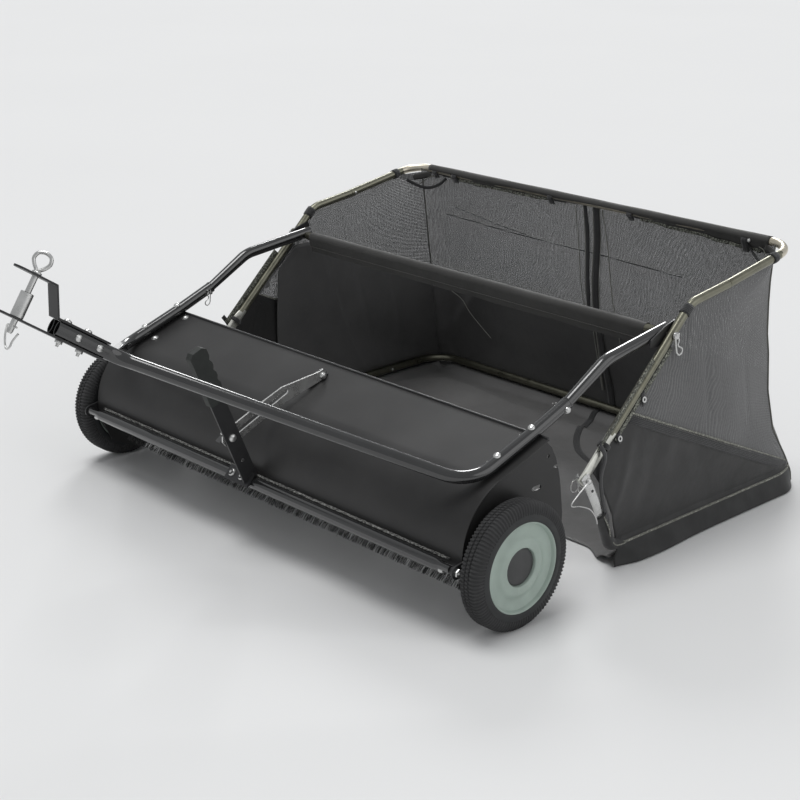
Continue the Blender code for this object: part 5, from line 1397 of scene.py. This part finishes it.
def make_back_straps():
    """Webbing and cords that run down the middle of the back wall, with thin cords across it: dark ones are painted
    shade in its folds, a pale one is a painted highlight on a fold.
    """
    def down(points, off):
        path = curve_through([(x + 0.018 * ease((z - 0.3) / 0.26), 0, z) for x, z in points], 8)
        return [Vector((x, back_y(x, z) - off, z)) for x, _, z in path]
    bands = [([(-0.029, 0.561), (-0.02, 0.47), (-0.012, 0.38), (-0.006, 0.293)], 0.0105),
             ([(0.006, 0.561), (0.01, 0.47), (0.013, 0.38), (0.016, 0.29), (0.021, 0.2), (0.026, 0.11), (0.03, 0.04)],
              0.021)]
    strap("back_bands", STRAP, 0.0014, (0, -1, 0), *[(down(points, 0.0032), wide) for points, wide in bands])
    cords = [([(-0.059, 0.548), (-0.045, 0.45), (-0.032, 0.37), (-0.019, 0.3)], 0.0011),
             ([(0.025, 0.552), (0.044, 0.46), (0.062, 0.37), (0.075, 0.296), (0.081, 0.25), (0.086, 0.205)], 0.0012),
             ([(-0.034, 0.556), (-0.026, 0.47), (-0.018, 0.38), (-0.0115, 0.293)], 0.0008),
             ([(-0.004, 0.556), (-0.0005, 0.47), (0.0025, 0.38), (0.0055, 0.29)], 0.0009),
             ([(0.017, 0.556), (0.021, 0.47), (0.024, 0.38), (0.027, 0.29)], 0.0007),
             ([(0.002, 0.288), (0.003, 0.25), (0.004, 0.19), (0.006, 0.13)], 0.0013),
             ([(0.01, 0.288), (0.011, 0.25), (0.011, 0.19), (0.0075, 0.125)], 0.0013)]
    shapes = [swept(down(points, 0.0042), wire, 8) for points, wire in cords]
    # Dark cords along folds of the back wall: painted shade in its creases.
    folds = [([(-0.5, 0.449), (-0.3, 0.4435), (-0.1, 0.44), (0.1, 0.437), (0.27, 0.434)], 0.0009),
             ([(-0.47, 0.473), (-0.33, 0.456), (-0.2, 0.445)], 0.0007)]
    fold_shade_cords = [swept([p + Vector((0, 0.0034, 0)) for p in down(points, 0.0042)], wire, 6) for points, wire in folds]
    bent = [(-0.5, 0.252), (-0.447, 0.228), (-0.42, 0.19), (-0.362, 0.134)]
    show("back_fold_highlight", swept(down(bent, 0.011), 0.0008, 6), THREAD, "hopper")
    show("back_fold_shade_lines", together(*fold_shade_cords), STRAP, "hopper")
    knot = down([(0.0065, 0.128), (0.007, 0.1), (0.0075, 0.08)], 0.006)
    shapes.append(swept([knot[0], knot[8], knot[-1]], 0.003, 10))
    show("back_cords", together(*shapes), THREAD, "hopper")


def make_cross_sleeve():
    """The cloth tube round the cross bar, closed by a sewn tail below it."""
    outline = arc(PIVOT_Y, PIVOT_Z, 0.0118, -32, 212, 22)
    tail = [(PIVOT_Y - 0.0072, PIVOT_Z - 0.018), (PIVOT_Y - 0.003, PIVOT_Z - 0.026),
            (PIVOT_Y - 0.0022, PIVOT_Z - 0.036), (PIVOT_Y + 0.0002, PIVOT_Z - 0.036),
            (PIVOT_Y + 0.0012, PIVOT_Z - 0.026), (PIVOT_Y + 0.0066, PIVOT_Z - 0.018)]
    ring = outline + tail
    points, flat = [], []
    rows = 70
    for j in range(rows + 1):
        x = -0.52 + 1.04 * j / rows
        for i, (y, z) in enumerate(ring):
            k = 1 + 0.035 * math.sin(37 * x + i * 0.4) * math.sin(11 * x + 1.3)
            points.append((x, PIVOT_Y + (y - PIVOT_Y) * k, PIVOT_Z + (z - PIVOT_Z) * (k if z < PIVOT_Z else 1)))
            flat.append((i * 0.0035, x))
    faces = net(rows + 1, len(ring))
    made = show("cross_sleeve_cloth", (points, faces), SLEEVE, "hopper", ["cross_sleeve"], flat=flat, crease=60)
    area = sum(one + other for one, other in half_areas(points, faces)) / 2
    row = [(x / 50 * 0.518, PIVOT_Y - 0.0048, PIVOT_Z - 0.0225) for x in range(-50, 51)]
    show("sleeve_stitches", stitches(row, (0, -1, -0.4)), THREAD, "hopper")


FLOOR_SIZE, SKY, SKY_STRENGTH = 40.0, (0.965, 0.985, 1.0), 0.47
# name, way the light goes, strength, width in degrees
SUNS = (("top", (0.18, 0.12, -0.98), 1.25, 30), ("back", (0.6, -0.6, -0.52), 0.85, 16),
        ("fill", (-0.84, -0.34, -0.42), 0.45, 50))


def make_stage():
    corners = [(a * FLOOR_SIZE, b * FLOOR_SIZE, 0) for a, b in ((-1, -1), (1, -1), (1, 1), (-1, 1))]
    mesh = bpy.data.meshes.new("floor")
    mesh.from_pydata(corners, [], [[0, 1, 2, 3]])
    look = Look("studio_floor")
    cloud = look.noise(0.7, 2.0, 0.5)
    look.set(Base_Color=look.mix(cloud, (0.745, 0.745, 0.745), (0.77, 0.77, 0.77)), Roughness=0.9,
             Specular_IOR_Level=0.2)
    mesh.materials.append(look.material)
    floor = bpy.data.objects.new("floor", mesh)
    bpy.context.scene.collection.objects.link(floor)
    world = bpy.data.worlds.new("studio")
    world.use_nodes = True
    sky = world.node_tree.nodes["Background"].inputs
    sky["Color"].default_value, sky["Strength"].default_value = (*SKY, 1), SKY_STRENGTH
    bpy.context.scene.world = world
    for name, way, power, wide in SUNS:
        data = bpy.data.lights.new(name, "SUN")
        data.energy = power
        data.angle = math.radians(wide)
        lamp = bpy.data.objects.new(name, data)
        lamp.rotation_mode = "QUATERNION"
        lamp.rotation_quaternion = Vector(way).to_track_quat("-Z", "Y")
        bpy.context.scene.collection.objects.link(lamp)
    bpy.context.scene.view_settings.view_transform = "Standard"


make_camera()
make_stage()
make_housing()
make_tow_frame()
make_hitch()
make_lever()
make_height_parts()
make_brush()
make_wheels()
make_hopper_frame()
make_bag()
make_cross_sleeve()
